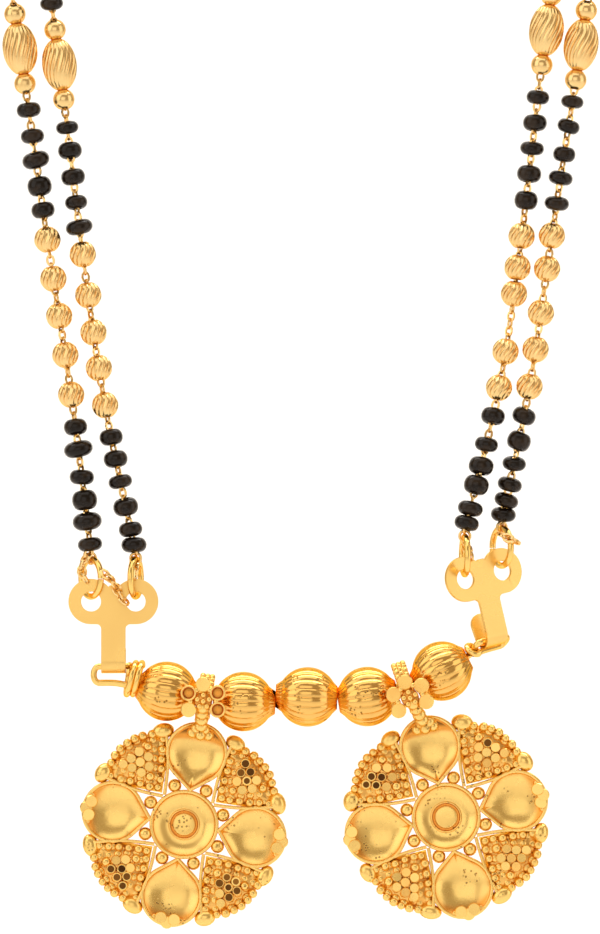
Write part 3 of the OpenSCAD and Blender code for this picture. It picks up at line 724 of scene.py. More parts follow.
def chain(name, sizes):
    """The links of a strand, turned a quarter from one to the next and drifting in slow waves, and an end
    link at each end."""
    path, distance = strand(name, sizes)
    slack, slow, quick = 0.02, 9.0, 3.7
    pitch = sizes.link_length - 2 * sizes.link_wire - slack
    start = sizes.link_length / 2 - sizes.end_link_wire - sizes.link_wire
    count = int((distance[-1] - 2 * start) / pitch) + 1
    places = np.linspace(start, distance[-1] - start, count)
    at, axes = strand_axes(path, distance, places, pitch / 2)
    drift = 0.9 + 0.5 * np.sin(places / slow) + 0.35 * np.sin(places / quick)
    links = [stamped(oval_link(sizes), spun(axes, drift + np.arange(count) % 2 * math.pi / 2), at)]
    for i in ROUTES[name]["rings"]:
        centre = middle(f"ring_{i}") + (0, 0, LINK_RISE)
        line = circle(centre, about_z(RING_ANGLES[i])[:, 0], sizes.end_link_d / 2, around(20))
        links.append(tube(line, sizes.end_link_wire / 2, 8, closed=True, side=line - centre))
    return joined(links)


def loose_ends(sizes):
    """Short lengths of chain that hang from the rings, their links crowded and a little larger."""
    crowding, growth, turn = 0.55, 1.15, 1.2
    pitch = sizes.link_length * crowding
    ends = []
    for route in LOOSE_ENDS:
        path = spline(route, 8)
        distance = lengths(path)
        places = np.arange(0.3, distance[-1], pitch)
        at, axes = strand_axes(path, distance, places, pitch / 2)
        axes = spun(axes, 0.6 + np.arange(len(places)) * turn)
        ends.append(stamped(oval_link(sizes), scaled(axes, np.full(len(places), growth)), at))
    return joined(ends)


def drilled(radii, heights, bore_r, tight=0.98, deep=0.55, shade=0.9):
    """A bead's outer profile and two rows more in its bore: radius, height and shade, each as a column."""
    inside, end = bore_r * tight, heights[-1] * deep
    # Painted shade in the bore and at its rims
    shades = np.concatenate([np.zeros(len(radii)), [shade, shade]])
    shades[[0, -3]] = 0.6
    rows = np.concatenate([radii, [inside, inside]]), np.concatenate([heights, [end, -end]]), shades
    return [row[:, None] for row in rows]


def egg(d, long, bore, rows):
    """Angles from pole to pole of an ellipse turned round its bore, and its drilled profile."""
    edge = math.asin(bore / d)
    a = np.linspace(edge, math.pi - edge, rows)
    return a, drilled(d / 2 * np.sin(a), -long / 2 * np.cos(a), bore / 2)


def cut_bead(d, long, bore, cuts, depth, rows):
    """A bead along Z: an ellipse turned round its bore, less the width of concave cuts that swing from side
    to side once between its ends, so that the ridges between them are sharp."""
    swing, per_cut, inside = 0.27, 4, [0, 0]
    a, (radii, heights, shade) = egg(d, long, bore, rows)
    turn = around(cuts * per_cut)
    swung = np.concatenate([swing * np.sin(2 * a - math.pi), inside])[:, None]
    strength = np.concatenate([np.sin(a) ** 1.5 * (np.sin(a) > 1.02 * bore / d), inside])[:, None]
    cut = np.abs(np.cos(turn * cuts / 2)) * strength
    # Painted shade: the middle of each cut is deeper in colour
    return bored(radii - depth * cut, turn + swung, heights, np.maximum(shade, 0.5 * cut ** 3))


def rondelle(d, height, bore):
    """A glass bead along Z: a fat disc whose profile is half an ellipse, closed through its bore."""
    a = np.linspace(-math.pi / 2, math.pi / 2, 9)
    lip = bore / 2 + 0.03
    profile = lip + (d / 2 - lip) * np.cos(a), height / 2 * np.sin(a)
    radii, heights, _ = drilled(*profile, bore / 2, 1.0, 0.75)
    return bored(radii, around(14), heights)


def glass_beads(name, sizes, chance):
    """Black beads of a strand, each a little tipped on the chain. They are stouter towards its ends, and
    none is as tall as the way to its neighbour."""
    stout_below, stout_over, share_of_space = -110, 80, 0.93
    path, distance = strand(name, sizes)
    kinds = strung(name, sizes, distance[-1])
    every = np.concatenate([kinds["glass"], kinds["large"]])
    shapes = []
    for kind, share in (("glass", 1.0), ("large", sizes.large_glass)):
        places = kinds[kind]
        count = len(places)
        if not count:
            continue
        at, axes = strand_axes(path, distance, places, 0.5)
        axes = tipped(axes, chance.uniform(0, 0.2, count), chance.uniform(0, 2 * math.pi, count))
        stout = np.clip((stout_below - at[:, 2]) / stout_over, 0, 1)
        girth = chance.uniform(0.95, 1.05, count) + 0.1 * stout
        tall = girth * chance.choice([0.92, 1.0, 1.12, 1.3], count, p=[0.35, 0.3, 0.2, 0.15])
        apart = np.abs(places[:, None] - every)
        space = np.where(apart > 0.01, apart, np.inf).min(1)
        tall = np.minimum(tall, share_of_space * space / (sizes.glass_h * share))
        axes = axes * np.stack([girth, girth, tall], -1)[:, None, :]
        bead = rondelle(sizes.glass_d * share, sizes.glass_h * share, sizes.glass_bore)
        shapes.append(stamped(bead, axes, at))
    return joined(shapes)


def gold_beads(name, sizes, chance):
    """Balls, cut round beads and cut ovals of a strand."""
    path, distance = strand(name, sizes)
    kinds = strung(name, sizes, distance[-1])
    bore = sizes.gold_bore
    _, (radii, heights, shade) = egg(sizes.ball_d, sizes.ball_d, bore, 12)
    beads = {"ball": (sizes.ball_d, bored(radii, around(24), heights, shade)),
             "round": (sizes.round_d, cut_bead(sizes.round_d, sizes.round_d, bore, 16, 0.15, 15)),
             "oval": (sizes.oval_length, cut_bead(sizes.oval_d, sizes.oval_length, bore, 24, 0.11, 23))}
    shapes = []
    for kind, (long, bead) in beads.items():
        at, axes = strand_axes(path, distance, kinds[kind], long / 2)
        axes = spun(axes, chance.uniform(0, 2 * math.pi, len(at)))
        shapes.append(stamped(bead, axes, at, chance.uniform(0, 0.12, len(at))))
    return joined(shapes)


# Rings, hook plates, bar wire and fluted beads

def jump_ring(i, sizes):
    """An open ring: a round wire on a circle about the ring's axis, its two cut ends almost touching."""
    gap, gap_at = 0.02, 2.2 + i
    axis, flat, _ = about_z(RING_ANGLES[i]).T
    path = circle(middle(f"ring_{i}"), flat, sizes.ring_d / 2,
                  np.linspace(gap, 2 * math.pi - gap, 73) + gap_at)
    return tube(path, sizes.ring_wire / 2, 16, side=np.broadcast_to(axis, path.shape))


def loop_of_wire(seat, u, v):
    """Half an ellipse from a seat along u and back beside it along v."""
    turns = np.radians(np.linspace(90, -90, 7))[:, None]
    out = LOOP["start"] + LOOP["bulge"] * np.cos(turns)
    return spline(seat + out * u + LOOP["height"] * (1 - np.sin(turns)) / 2 * v, 3)


def bar_path():
    """The bar: wraps, the left loop, the run through the beads, the stem to the right hook, its loop and the
    closing turns."""
    left, right = (PLATES[side]["at"] + plate_axes(side) @ SEAT for side in ("left", "right"))
    wrap_at = left + WRAP["from_seat"]
    w = WRAP["turns"] - np.arange(int(WRAP["turns"] * WRAP["steps"]) + 1) / WRAP["steps"]
    a = math.pi / 2 + 2 * math.pi * w
    wraps = wrap_at + np.stack([w * WRAP["pitch"] - WRAP["lean"] * (1 - np.sin(a)),
                                -WRAP["radius"] * np.cos(a), WRAP["radius"] * np.sin(a)], -1)
    start = [left + (LOOP["reach"] - 0.3, 0, 0.05), left]
    leave = wrap_at + (1, 0, -0.98)
    under = [left + (0.2, 0, -LOOP["height"] - 0.02), wrap_at + (-0.2, 0, -0.78), leave]

    straight, rounding = 2.4, 0.72
    beads = np.array([middle(f"fluted_bead_{i}") for i in FLUTED])
    foot = beads[-1] + CLOSE["from_bead"]
    line = np.array([leave, *beads, foot])
    back, on = unit(line[:-2] - beads), unit(line[2:] - beads)
    through = np.stack([beads + back * straight, beads + (back + on) * rounding, beads + on * straight], 1)

    axes, slope = plate_axes("right"), math.radians(60)
    u, v = axes[:, 0], axes @ (0, math.sin(slope), -math.cos(slope))
    stem = [right - u * LOOP["reach"], right]
    axis = unit(stem[0] - foot)
    side = square_to(axis, v)
    k = np.arange(CLOSE["steps"] + 1)[:, None] / CLOSE["steps"]
    b = np.radians(CLOSE["start"] - CLOSE["turn"] * k)
    low, high = CLOSE["rise"]
    circled = np.cos(b) * side + np.sin(b) * np.cross(axis, side)
    close = foot + axis * (low + (high - low) * k) + CLOSE["radius"] * circled
    left_loop = loop_of_wire(left, np.array((-1.0, 0, 0)), np.array((0, 0, -1.0)))
    return spline(np.vstack([wraps, start, left_loop, under, through.reshape(-1, 3), [foot], stem,
                             loop_of_wire(right, u, v), close]), 4)


def fluted_bead(i, sizes):
    """A ball with a short neck at each end, whose lobes between narrow flutes run from neck to neck."""
    tilt, *reaches = FLUTED[i]
    r, neck_starts = sizes.bead_d / 2, 0.56
    a = np.linspace(neck_starts, math.pi - neck_starts, 35)
    ball_r, ball_z = r * math.sin(neck_starts), r * math.cos(neck_starts)
    lip = sizes.bead_bore / 2 + 0.1
    neck_r = lip + (ball_r - lip) * np.array([0.1, 0.3, 0.42, 0.54, 0.7, 0.86])
    neck_z = np.array([1.0, 0.98, 0.85, 0.64, 0.42, 0.2])
    low, high = (ball_z + (reach - ball_z) * neck_z for reach in reaches)
    radii, heights, shade = drilled(np.concatenate([neck_r, r * np.sin(a), neck_r[::-1]]),
                                    np.concatenate([-low, -r * np.cos(a), high[::-1]]),
                                    sizes.bead_bore / 2, shade=1.0)
    turn = around(8 * sizes.flutes)
    lobe = np.abs(np.sin(sizes.flutes * turn / 2)) ** 0.75
    depth = np.where(radii > lip, sizes.flute_depth * (radii / radii.max()) ** 0.5, 0)
    # Painted shade: deeper colour at the necks between beads, in the flutes and in the bore
    ends = np.clip(1.15 * (np.abs(heights) - ball_z) / (heights.max() - ball_z) - 0.1, 0, 1.1)
    shade = np.maximum(np.maximum(shade, ends), 0.5 * (1 - lobe) ** 2)
    bead = bored(radii - depth * (1 - lobe), turn, heights, shade)
    return placed(bead, about_y(90 + tilt), middle(f"fluted_bead_{i}"))


def hook_plate(side, finish, edge):
    """The solid's own plate with its flat faces joined, its edges rounded a little and its bends smooth."""
    name = f"{side}_hook_plate"
    source = bpy.data.objects[name]
    mesh = bpy.data.meshes.new(f"{name}_rounded")
    work = bmesh.new()
    work.from_mesh(source.data)
    work.transform(source.matrix_world)
    bmesh.ops.remove_doubles(work, verts=work.verts, dist=0.001 * MM)
    bmesh.ops.dissolve_limit(work, angle_limit=math.radians(0.5), verts=work.verts, edges=work.edges)
    for face in work.faces:
        face.smooth = True
    work.to_mesh(mesh)
    work.free()
    made = added(f"{name}_rounded", mesh)
    rounding = made.modifiers.new("Rounded edges", "BEVEL")
    rounding.width = edge * MM
    rounding.segments = 2
    rounding.limit_method = "ANGLE"
    rounding.angle_limit = math.radians(40)
    even = made.modifiers.new("Even faces", "WEIGHTED_NORMAL")
    even.weight = 100
    even.keep_sharp = False
    graph = bpy.context.evaluated_depsgraph_get()
    rounded = bpy.data.meshes.new_from_object(made.evaluated_get(graph))
    made.modifiers.clear()
    made.data = rounded
    rounded.materials.clear()
    rounded.materials.append(finish)
    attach(made, STRANDS)
    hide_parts(name)


# Pendants: a rosette lies in its own plane with X to the right, Y up and Z to the front. STANDING holds the
# axes that it has when it hangs.

STANDING = np.array([[1, 0, 0], [0, 0, -1], [0, 1, 0]])


def ridge(out, base, reach, rise, shade=0.0, rows=9, stop=math.pi):
    """Rows over a round ridge from its outer side to its inner one: (distance out, height, shade)."""
    return [(out + reach * math.cos(t), base + rise * math.sin(t), shade)
            for t in np.linspace(0, stop, rows)]


def pan(outline, centre, profile, round_r=0.0):
    """A closed outline taken through a profile from the middle of its back over its rim to the middle of its
    front: each row is (share of the outline, distance out from it, height, shade). With a radius, the rows
    pass from the outline to a circle as their share falls, so that no crease runs in from a corner."""
    share, offset, height, shade = np.array(profile, float).T[:, :, None, None]
    p = outline - centre
    step = np.roll(p, -1, 0) - np.roll(p, 1, 0)
    out = unit(np.stack([step[:, 1], -step[:, 0]], -1))
    even = np.clip(2.2 * (1 - share), 0, 1) * (round_r > 0)
    flat = centre + share * ((1 - even) * p + even * round_r * unit(p)) + offset * out
    high = np.broadcast_to(height, (*flat.shape[:2], 1))
    shape = grid(np.concatenate([flat, high], -1), shade[:, :, 0], close_v=True)
    shape = cap(shape, 0, len(p), (*centre, height[0].item()), shade[0].item(), flip=True)
    return cap(shape, (len(share) - 1) * len(p), len(p), (*centre, height[-1].item()), shade[-1].item())


def petal(sizes, painted_end_reflection):
    """A tear-shaped dish: a round end and a point joined by straight sides, and a dished floor that carries
    a painted reflection of the steep outer wall, deeper in colour, at its far end."""
    centre, point = sizes.rosette_d / 2 - sizes.petal_r, sizes.cup_r - 0.2
    reach = math.acos(sizes.petal_r / (centre - point))
    bend = np.linspace(-math.pi + reach, math.pi - reach, 60)
    arc = np.stack([centre + sizes.petal_r * np.cos(bend), sizes.petal_r * np.sin(bend)], -1)
    tip = np.array([[point, 0.0]])
    right = tip + (arc[0] - tip) * np.linspace(0, 1, 9)[1:-1, None]
    outline = np.vstack([tip, right, arc, (right * (1, -1))[::-1]])
    wire, back = sizes.rim_wire, -sizes.back_h
    floor, lip = -0.22, sizes.rim_h - wire / 2
    rim = [(1.0, *row) for row in ridge(-wire / 2, lip, wire / 2, wire / 2, rows=7)]
    # Painted shade: on the back, and on the dish more and more towards its rim wall
    dish = [(t, -wire * t, floor + (lip - floor) * t ** 2.6, 0.6 * t ** 8 + 0.05)
            for t in np.linspace(1.0, 0.04, 22)[1:]]
    rows = [(0.05, 0, back, 0.5), (0.97, 0, back, 0.5), (1.0, 0, back + 0.1, 0.5), *rim, *dish]
    points, faces = pan(outline, np.array([centre - 0.3, 0.0]), rows, sizes.petal_r)
    # Painted reflection: the inside of the far end deepens in colour, as if it mirrored the steep outer wall
    end = np.clip((points[:, 0] - centre - 1.1) / 1.2, 0, 1)
    inside = (points[:, 2] < lip) & (points[:, 2] > floor - 0.08)
    points[:, 3] += painted_end_reflection * end * inside
    return points, faces


def cup(sizes):
    """The centre: rim wire, dish, thin raised ring, groove and domed button, turned as one profile."""
    wire, r, back = sizes.rim_wire / 2, sizes.cup_r, -sizes.back_h
    lip, floor, floor_r, button_h = sizes.rim_h - wire, -0.08, 1.9, 0.25
    # Painted shade: the back, the dish towards its rim wall and the groove are deeper in colour
    dish = [(floor_r + (r - 2 * wire - floor_r) * t, floor + (lip - floor) * t ** 1.9, 0.5 * t ** 5 + 0.05)
            for t in np.linspace(1, 0, 16)[1:]]
    rows = [(0, back, 0.5), (r - 0.08, back, 0.5), (r, back + 0.08, 0.5),
            *ridge(r - wire, lip, wire, wire), *dish,
            *ridge(1.72, floor, 0.13, 0.2, 0.1), (1.54, floor - 0.12, 0.8), (1.36, floor - 0.12, 0.8),
            *ridge(1.15, button_h - 0.17, 0.17, 0.17, 0.1, 5, math.pi / 2), (0.6, button_h + 0.02, 0.1),
            (0, button_h + 0.03, 0.1)]
    radii, heights, shades = np.array(rows).T
    return lathe(radii, heights, 72, shades)


def granule(d):
    """A granule: a ball of few faces."""
    return beaded(d / 2, 7, 10)


def painted_dark_facet(d):
    """A painted dark reflection on a cut granule: a thin near-black disc just over its level top."""
    return lathe(d * np.array([0, 0.37, 0.37, 0]), d * np.array([0.1, 0.1, 0.24, 0.24]), 12, 1.95)


def cut_granule(d):
    """A granule whose front was cut flat: a short round body with a level top."""
    radii = d * np.array([0, 0.36, 0.5, 0.5, 0.44, 0])
    return lathe(radii, d * np.array([-0.5, -0.38, -0.1, 0.22, 0.3, 0.3]), 14)


def lattice(x, across, up):
    """Points of a close six-sided pattern round (x, 0)."""
    i, j = np.meshgrid(np.arange(-14, 15), np.arange(-14, 15), indexing="ij")
    return np.stack([x + i * across, (j + (i % 2) / 2) * up], -1).reshape(-1, 2)


class Fan:
    """A fan that lies along X: its tip is at the cup, its two sides bow out a little, and it ends at the
    rosette's edge."""

    def __init__(self, sizes):
        self.sizes = sizes
        self.bow = 0.26
        self.tip, self.far = sizes.cup_r + 0.45, sizes.rosette_d / 2 - 0.35
        drawn_corner, drawn_d = np.array([9.7, 4.3]), 24.2
        self.corner = drawn_corner * sizes.rosette_d / drawn_d
        self.ahead = unit([self.corner[0] - self.tip, self.corner[1]])
        self.middle = (self.tip + self.far) / 2 + 0.6

    def top(self, p):
        """Height of the dome on which the granules lie."""
        return 1.35 - 0.045 * ((p[:, 0] - self.middle) ** 2 + p[:, 1] ** 2)

    def room(self, p):
        """Distance in from the nearest edge."""
        to_side = (p[:, 0] - self.tip) * self.ahead[1] - np.abs(p[:, 1]) * self.ahead[0]
        return np.minimum(to_side, self.far - p[:, 0] - p[:, 1] ** 2 * 0.1)

    def base(self):
        """The domed base under the granules, in painted shade."""
        tip, far, (across, up) = self.tip, self.far, self.ahead
        half_way = (np.array((tip, 0)) + self.corner) / 2 + self.bow * np.array((-up, across))
        upper = np.array([(far - 0.2, 1.45), (far - 0.85, 2.9), self.corner, half_way])
        edge = np.vstack([(tip, 0), upper[::-1] * (1, -1), (far, 0), upper, (tip, 0)])
        outline = along(edge, np.arange(len(edge)), np.linspace(0, len(edge) - 1, 61)[:-1])
        low = 0.16 - self.sizes.back_h
        return pan(outline, np.array([self.middle, 0.0]), [
            (0.05, 0, low, 0.4), (0.98, 0, low, 0.4), (1.0, 0, low + 0.08, 0.4), (1.0, -0.25, 0.3, 0.4),
            (0.96, -0.2, 0.45, 0.5), (0.65, 0, 0.8, 0.5), (0.3, 0, 0.97, 0.5), (0.05, 0, 1.0, 0.5)])

    def edge_rows(self, pitch):
        """Places of the granules along both sides, at the tip and along the far edge."""
        across, up = self.ahead
        t = np.arange(1.6, np.hypot(self.corner[0] - self.tip, self.corner[1]) - 0.3, pitch)[:, None]
        sides = [(self.tip, 0) + t * (across, s * up) + 0.35 * np.array([up, -s * across]) for s in (-1, 1)]
        y = np.linspace(-self.corner[1] * 0.9, self.corner[1] * 0.9, 9)
        outer = np.column_stack([self.far - 0.15 - 0.1 * y ** 2, y])
        return np.vstack([*sides, (self.tip + 0.85, 0), outer])

    def cover(self, chance, painted_facet_count):
        """A close cover of granules over a lower layer of them in painted shade; and apart from these the
        cut ones round the middle, some of them with a painted dark reflection on their level top."""
        d, inset, cut_within = self.sizes.granule_d, 0.3, 1.7
        pitch = d * 0.98
        rows = self.edge_rows(pitch)
        p = lattice(self.middle + 0.2, pitch * 0.87, pitch)
        clear = np.linalg.norm(p[:, None] - rows, axis=-1).min(1)
        inner = p[(self.room(p) > inset) & (clear > 0.72 * d)]
        p = np.vstack([inner, rows])
        size = chance.uniform(0.9, 1.06, len(p))
        size[len(inner):] *= 0.92
        p = p + chance.normal(0, 0.035, p.shape)
        at = np.column_stack([p, self.top(p) - 0.3 * d * size])
        off = np.hypot(p[:, 0] - self.middle - 0.3, p[:, 1] * 0.85 - chance.uniform(-0.5, 0.5))
        flat = (off < cut_within) & (np.arange(len(p)) < len(inner))
        whole = ~flat
        grains = stamped(granule(d), scaled(upright(whole.sum()), size[whole]), at[whole],
                         chance.uniform(0, 0.3, whole.sum()))
        under = lattice(self.middle + 0.5, pitch * 0.8, pitch * 0.92)
        under = under[self.room(under) > inset]
        # Painted shade: the lower layer is deeper in colour
        lower = copies(granule(d * 0.98), np.column_stack([under, self.top(under) - 0.58 * d]), 0.3)
        lean, at = nudged(flat.sum(), 9, chance), at[flat]
        cut = stamped(cut_granule(d), lean, at + (0, 0, 0.1), chance.choice([0, 0.15, 0.4], len(at)))
        # Painted reflection: the cut granules nearest a point near the middle get near-black discs
        painted_facets = np.argsort(np.hypot(at[:, 0] - self.middle - 1.0, at[:, 1] - 1.0))[:painted_facet_count]
        pits_and_painted_facets = stamped(painted_dark_facet(d), scaled(lean[painted_facets], chance.uniform(0.82, 1.05, len(painted_facets))),
                       at[painted_facets] + (0, 0, 0.25), chance.uniform(-0.3, 0, len(painted_facets)))
        return [grains, lower], joined([cut, pits_and_painted_facets])

    def wires(self):
        """A bowed wire along each side, and the wall of one below it in painted shade."""
        made = []
        k = np.linspace(0, 1, 12)[:, None]
        for s in (-1, 1):
            start = np.array((self.tip - 0.35, 0.12 * s))
            end = self.corner * (1, s) + (0.1, 0.05 * s)
            line = start + k * (end - start) + self.bow * np.sin(math.pi * k) * self.ahead[::-1] * (-1, s)
            line = np.column_stack([line, np.full(12, self.sizes.rim_h * 0.78)])
            made.append(tube(line, self.sizes.rim_wire / 2, 10))
            made.append(tube(line - (0, 0, 0.3), self.sizes.rim_wire / 2 * 0.9, 8, shade=0.35))
        return made


def knob(d, chance):
    """A knob on the edge: a ball of which the three directions are stretched by different shares."""
    stretch = [chance.uniform(0.94, 1.06), chance.uniform(1.28, 1.42), 0.95]
    return placed(beaded(d / 2, 11, 18), np.diag(stretch))


def rosette(sizes, chance, pits_and_painted_facets):
    """The whole rosette: centre cup, four petals, four fans, joining balls, knobs and the cut tips."""
    far, top = sizes.rosette_d / 2, 90
    shapes, cuts = [cup(sizes)], []
    ball = beaded(0.79, 9, 14)
    fan = Fan(sizes)
    for q, painted_facet_count in zip((0, top, 180, 270), pits_and_painted_facets):
        # The top petal gets the strongest painted reflection at its far end
        shapes.append(placed(petal(sizes, 1.3 if q == top else 0.5), about_z(q)))
        grains, cut = fan.cover(chance, painted_facet_count)
        shapes.append(placed(joined([fan.base(), *grains, *fan.wires()]), about_z(q + 45)))
        cuts.append(placed(cut, about_z(q + 45)))
        for s in (-1, 1):
            shapes.append(placed(copies(ball, [(sizes.cup_r + 0.62, 0, 0.3)]), about_z(q + 23.5 * s)))
            edge = copies(knob(sizes.knob_d, chance), [(far - 0.92, 0, 0.25)])
            shapes.append(placed(edge, about_z(q + 22.6 * s)))
        if q != top:
            tips = [(far - 0.5, 0, 0.78), (far - 0.95, 0.78, 0.84), (far - 0.95, -0.78, 0.8)]
            cuts.append(placed(stamped(cut_granule(1.5), nudged(3, 7, chance), tips), about_z(q)))
            beside = [(far - 0.9, 1.55, 0.45), (far - 0.9, -1.55, 0.45)]
            shapes.append(placed(copies(granule(0.9), beside), about_z(q)))
    return joined(shapes), joined(cuts)


def barrel(sizes):
    """A bail's barrel along Z with rounded edges and three rows of granules."""
    bore, r, half = 0.485, sizes.barrel_d / 2, sizes.barrel_length / 2
    edge = np.array([(bore, half), (r - 0.3, half), (r - 0.08, half - 0.08), (r, half - 0.3)])
    rows = np.vstack([edge * (1, -1), edge[::-1]])
    solid = bored(rows[:, :1], around(48), rows[:, 1:], 0.15)
    bumps = [polar(r - 0.12, around(22, turn), z) for turn, z in ((0, -0.55), (0.14, 0), (0, 0.55))]
    return joined([solid, copies(granule(0.68), np.vstack(bumps))])


def flower(spec, sizes, chance):
    """The flower before a bail: a post, bowls and granules; and the cut discs beside them."""
    edge = sizes.disc_d / 2
    disc = lathe(edge * np.array([0, 0.9, 1, 1, 0.88, 0]), [0, 0, 0.1, 0.42, 0.52, 0.52], 28)
    # Painted shade: each bowl deepens inside, near black low on its inner wall, and on its back
    bowl = lathe(edge * np.array([0, 0.8, 1, 1.04, 1.0, 0.9, 0.8, 0.72, 0.6, 0]),
                 [-0.05, 0.02, 0.2, 0.5, 0.62, 0.66, 0.62, 0.5, 0.16, 0.1], 28,
                 [0.4, 0.4, 0.1, 0, 0, 0, 0, 0.9, 1.5, 0.9])
    shapes, cuts = [lathe([0, 1.05, 1.05, 0.9, 0], [-1.9, -1.9, 0.2, 0.34, 0.34], 20, 0.6)], []
    for angle in (30, 90, 150, 210, 330):
        place = [polar(sizes.disc_ring_r, math.radians(angle), 0)]
        if angle in spec["cups"]:
            shapes.append(stamped(bowl, nudged(1, 4, chance), place))
        else:
            # Painted reflection: each cut disc is a little deeper in colour, as its face would mirror darker
            # surroundings
            cuts.append(stamped(disc, nudged(1, 6, chance), place, chance.choice([0.22, 0.3, 0.38], 1)))
    shapes.append(copies(granule(0.7), polar(1.5, np.radians([60, 120, 180, 0]), 0.3)))
    shapes.append(copies(granule(0.74), np.vstack([(0, 0, 0.42), polar(0.72, around(5, 0.3), 0.34)])))
    return joined(shapes), joined(cuts)


def bail(side, sizes, chance):
    """A barrel on the wire, the flower in front of it and the granules down to the rosette; and apart from
    these the cut discs."""
    spec = PENDANTS[side]
    first, second = (middle(f"fluted_bead_{i}") for i in spec["beads"])
    at, run = (first + second) / 2, unit(second - first)
    across = unit(np.cross(run, (0, 1.0, 0)))
    axes = np.stack([across, np.cross(run, across), run], -1)
    front = at + spec["flower"]
    face = about_y(spec["flower_turn"]) @ STANDING
    petals, discs = (placed(shape, face, front) for shape in flower(spec, sizes, chance))

    right, _, up = about_y(spec["turn"]).T
    heap_at = spec["at"] + (sizes.rosette_d / 2 - 1.1) * up - (0, sizes.rim_h + 0.55, 0)
    steps = math.ceil(np.linalg.norm(heap_at - front) / 0.95)
    stem = front + (heap_at - front) * np.arange(1, steps + 1)[:, None] / steps - (0, 0.2, 0)
    heap = [heap_at + x * right + (0, y, z) for x, y, z in (
        (-0.95, -0.05, -0.25), (0.95, -0.05, -0.25), (-0.5, -0.3, 0.35), (0.5, -0.3, 0.35),
        (0, -0.5, -0.35))]
    d = sizes.granule_d
    return joined([placed(barrel(sizes), axes, at), petals, copies(granule(d * 1.38), stem),
                   copies(granule(d * 1.12), heap)]), discs


# Stage

def sweep(wall_y, floor_z, width=9.0, front=-4.0, bend=0.6, height=4.5):
    """Floor and wall in one, in metres: a level run, a quarter circle and a rise, drawn out sideways."""
    a = np.linspace(0, math.pi / 2, 25)
    y = np.concatenate([[front], wall_y - bend + bend * np.sin(a), [wall_y]])
    z = np.concatenate([[floor_z], floor_z + bend - bend * np.cos(a), [height]])
    x = np.array([-width / 2, width / 2])
    return grid(np.stack(np.broadcast_arrays(x[None, :], y[:, None], z[:, None]), -1) / MM)


def lamp(name, place, target, size, energy):
    """An oblong soft light turned to a target; places in metres."""
    light = bpy.data.lights.new(name, "AREA")
    light.shape = "RECTANGLE"
    light.size, light.size_y = size
    light.energy = energy
    made = added(name, light)
    made.location = place
    towards = mathutils.Vector(target) - mathutils.Vector(place)
    made.rotation_euler = towards.to_track_quat("-Z", "Y").to_euler()


def studio(name, tint, strength):
    """A world of one warm colour, which fills the shadows and what the metal mirrors."""
    world = bpy.data.worlds.new(name)
    world.use_nodes = True
    background = world.node_tree.nodes["Background"].inputs
    background["Color"].default_value = tint
    background["Strength"].default_value = strength
    return world


def camera(distance):
    """A long lens that looks along Y at the front of the strands, framed as the photo is."""
    centre, height = (-0.82, FRONT_Y, -185.5), 109.0
    data = bpy.data.cameras.new("Camera")
    data.sensor_fit = "VERTICAL"
    data.sensor_height = 24.0
    data.lens = data.sensor_height * distance / height
    data.clip_start, data.clip_end = 0.05, 20.0
    made = added("Camera", data)
    made.location = (centre[0] * MM, (centre[1] - distance) * MM, centre[2] * MM)
    made.rotation_euler = (math.pi / 2, 0, 0)
    bpy.context.scene.camera = made


# Operators: one for each group of like pieces and one for the stage

def finishes():
    """The finishes, made once and then found by name."""
    colours = bpy.context.scene.mangalsutra_finish
    if "Black glass" not in bpy.data.materials:
        for name, (tint, *settings) in GOLDS.items():
            gold(name, *(tuple(getattr(colours, key)) for key in (tint, "deep", "edge")), *settings)
        glass("Black glass")
    return bpy.data.materials


class MANGALSUTRA_OT_chains(bpy.types.Operator):
    """Adds the links of the two chains in place of their solid cables."""
    bl_idname = "mangalsutra.chains"
    bl_label = "Add chains"

    def execute(self, context):
        sizes, finish = millimetres(context.scene.mangalsutra_strands), finishes()["Chain gold"]
        for name in ROUTES:
            piece(f"{name}_chain_links", chain(name, sizes), finish, STRANDS, 60,
                  [f"{name}_chain"])
        piece("loose_chain_ends", loose_ends(sizes), finish, STRANDS, 60)
        return {"FINISHED"}


class MANGALSUTRA_OT_strand_beads(bpy.types.Operator):
    """Adds the black glass beads and the gold beads of both strands."""
    bl_idname = "mangalsutra.strand_beads"
    bl_label = "Add strand beads"

    def execute(self, context):
        sizes, finish = millimetres(context.scene.mangalsutra_strands), finishes()
        for seed, name in enumerate(ROUTES, BEAD_SEED):
            chance = np.random.default_rng(seed)
            piece(f"{name}_glass_beads", glass_beads(name, sizes, chance), finish["Black glass"], STRANDS,
                  40)
            piece(f"{name}_cut_beads", gold_beads(name, sizes, chance), finish["Cut gold"], STRANDS,
                  35, [f"{name}_gold_beads"])
        return {"FINISHED"}


class MANGALSUTRA_OT_rings(bpy.types.Operator):
    """Adds the four jump rings."""
    bl_idname = "mangalsutra.rings"
    bl_label = "Add jump rings"

    def execute(self, context):
        sizes, finish = millimetres(context.scene.mangalsutra_bar), finishes()["Wire gold"]
        for i in RING_ANGLES:
            piece(f"jump_ring_{i}", jump_ring(i, sizes), finish, STRANDS, 60, [f"ring_{i}"])
        return {"FINISHED"}


class MANGALSUTRA_OT_hook_plates(bpy.types.Operator):
    """Adds the two hook plates with rounded edges."""
    bl_idname = "mangalsutra.hook_plates"
    bl_label = "Add hook plates"

    def execute(self, context):
        sizes, finish = millimetres(context.scene.mangalsutra_bar), finishes()["Plate gold"]
        for side in PLATES:
            hook_plate(side, finish, sizes.edge)
        return {"FINISHED"}


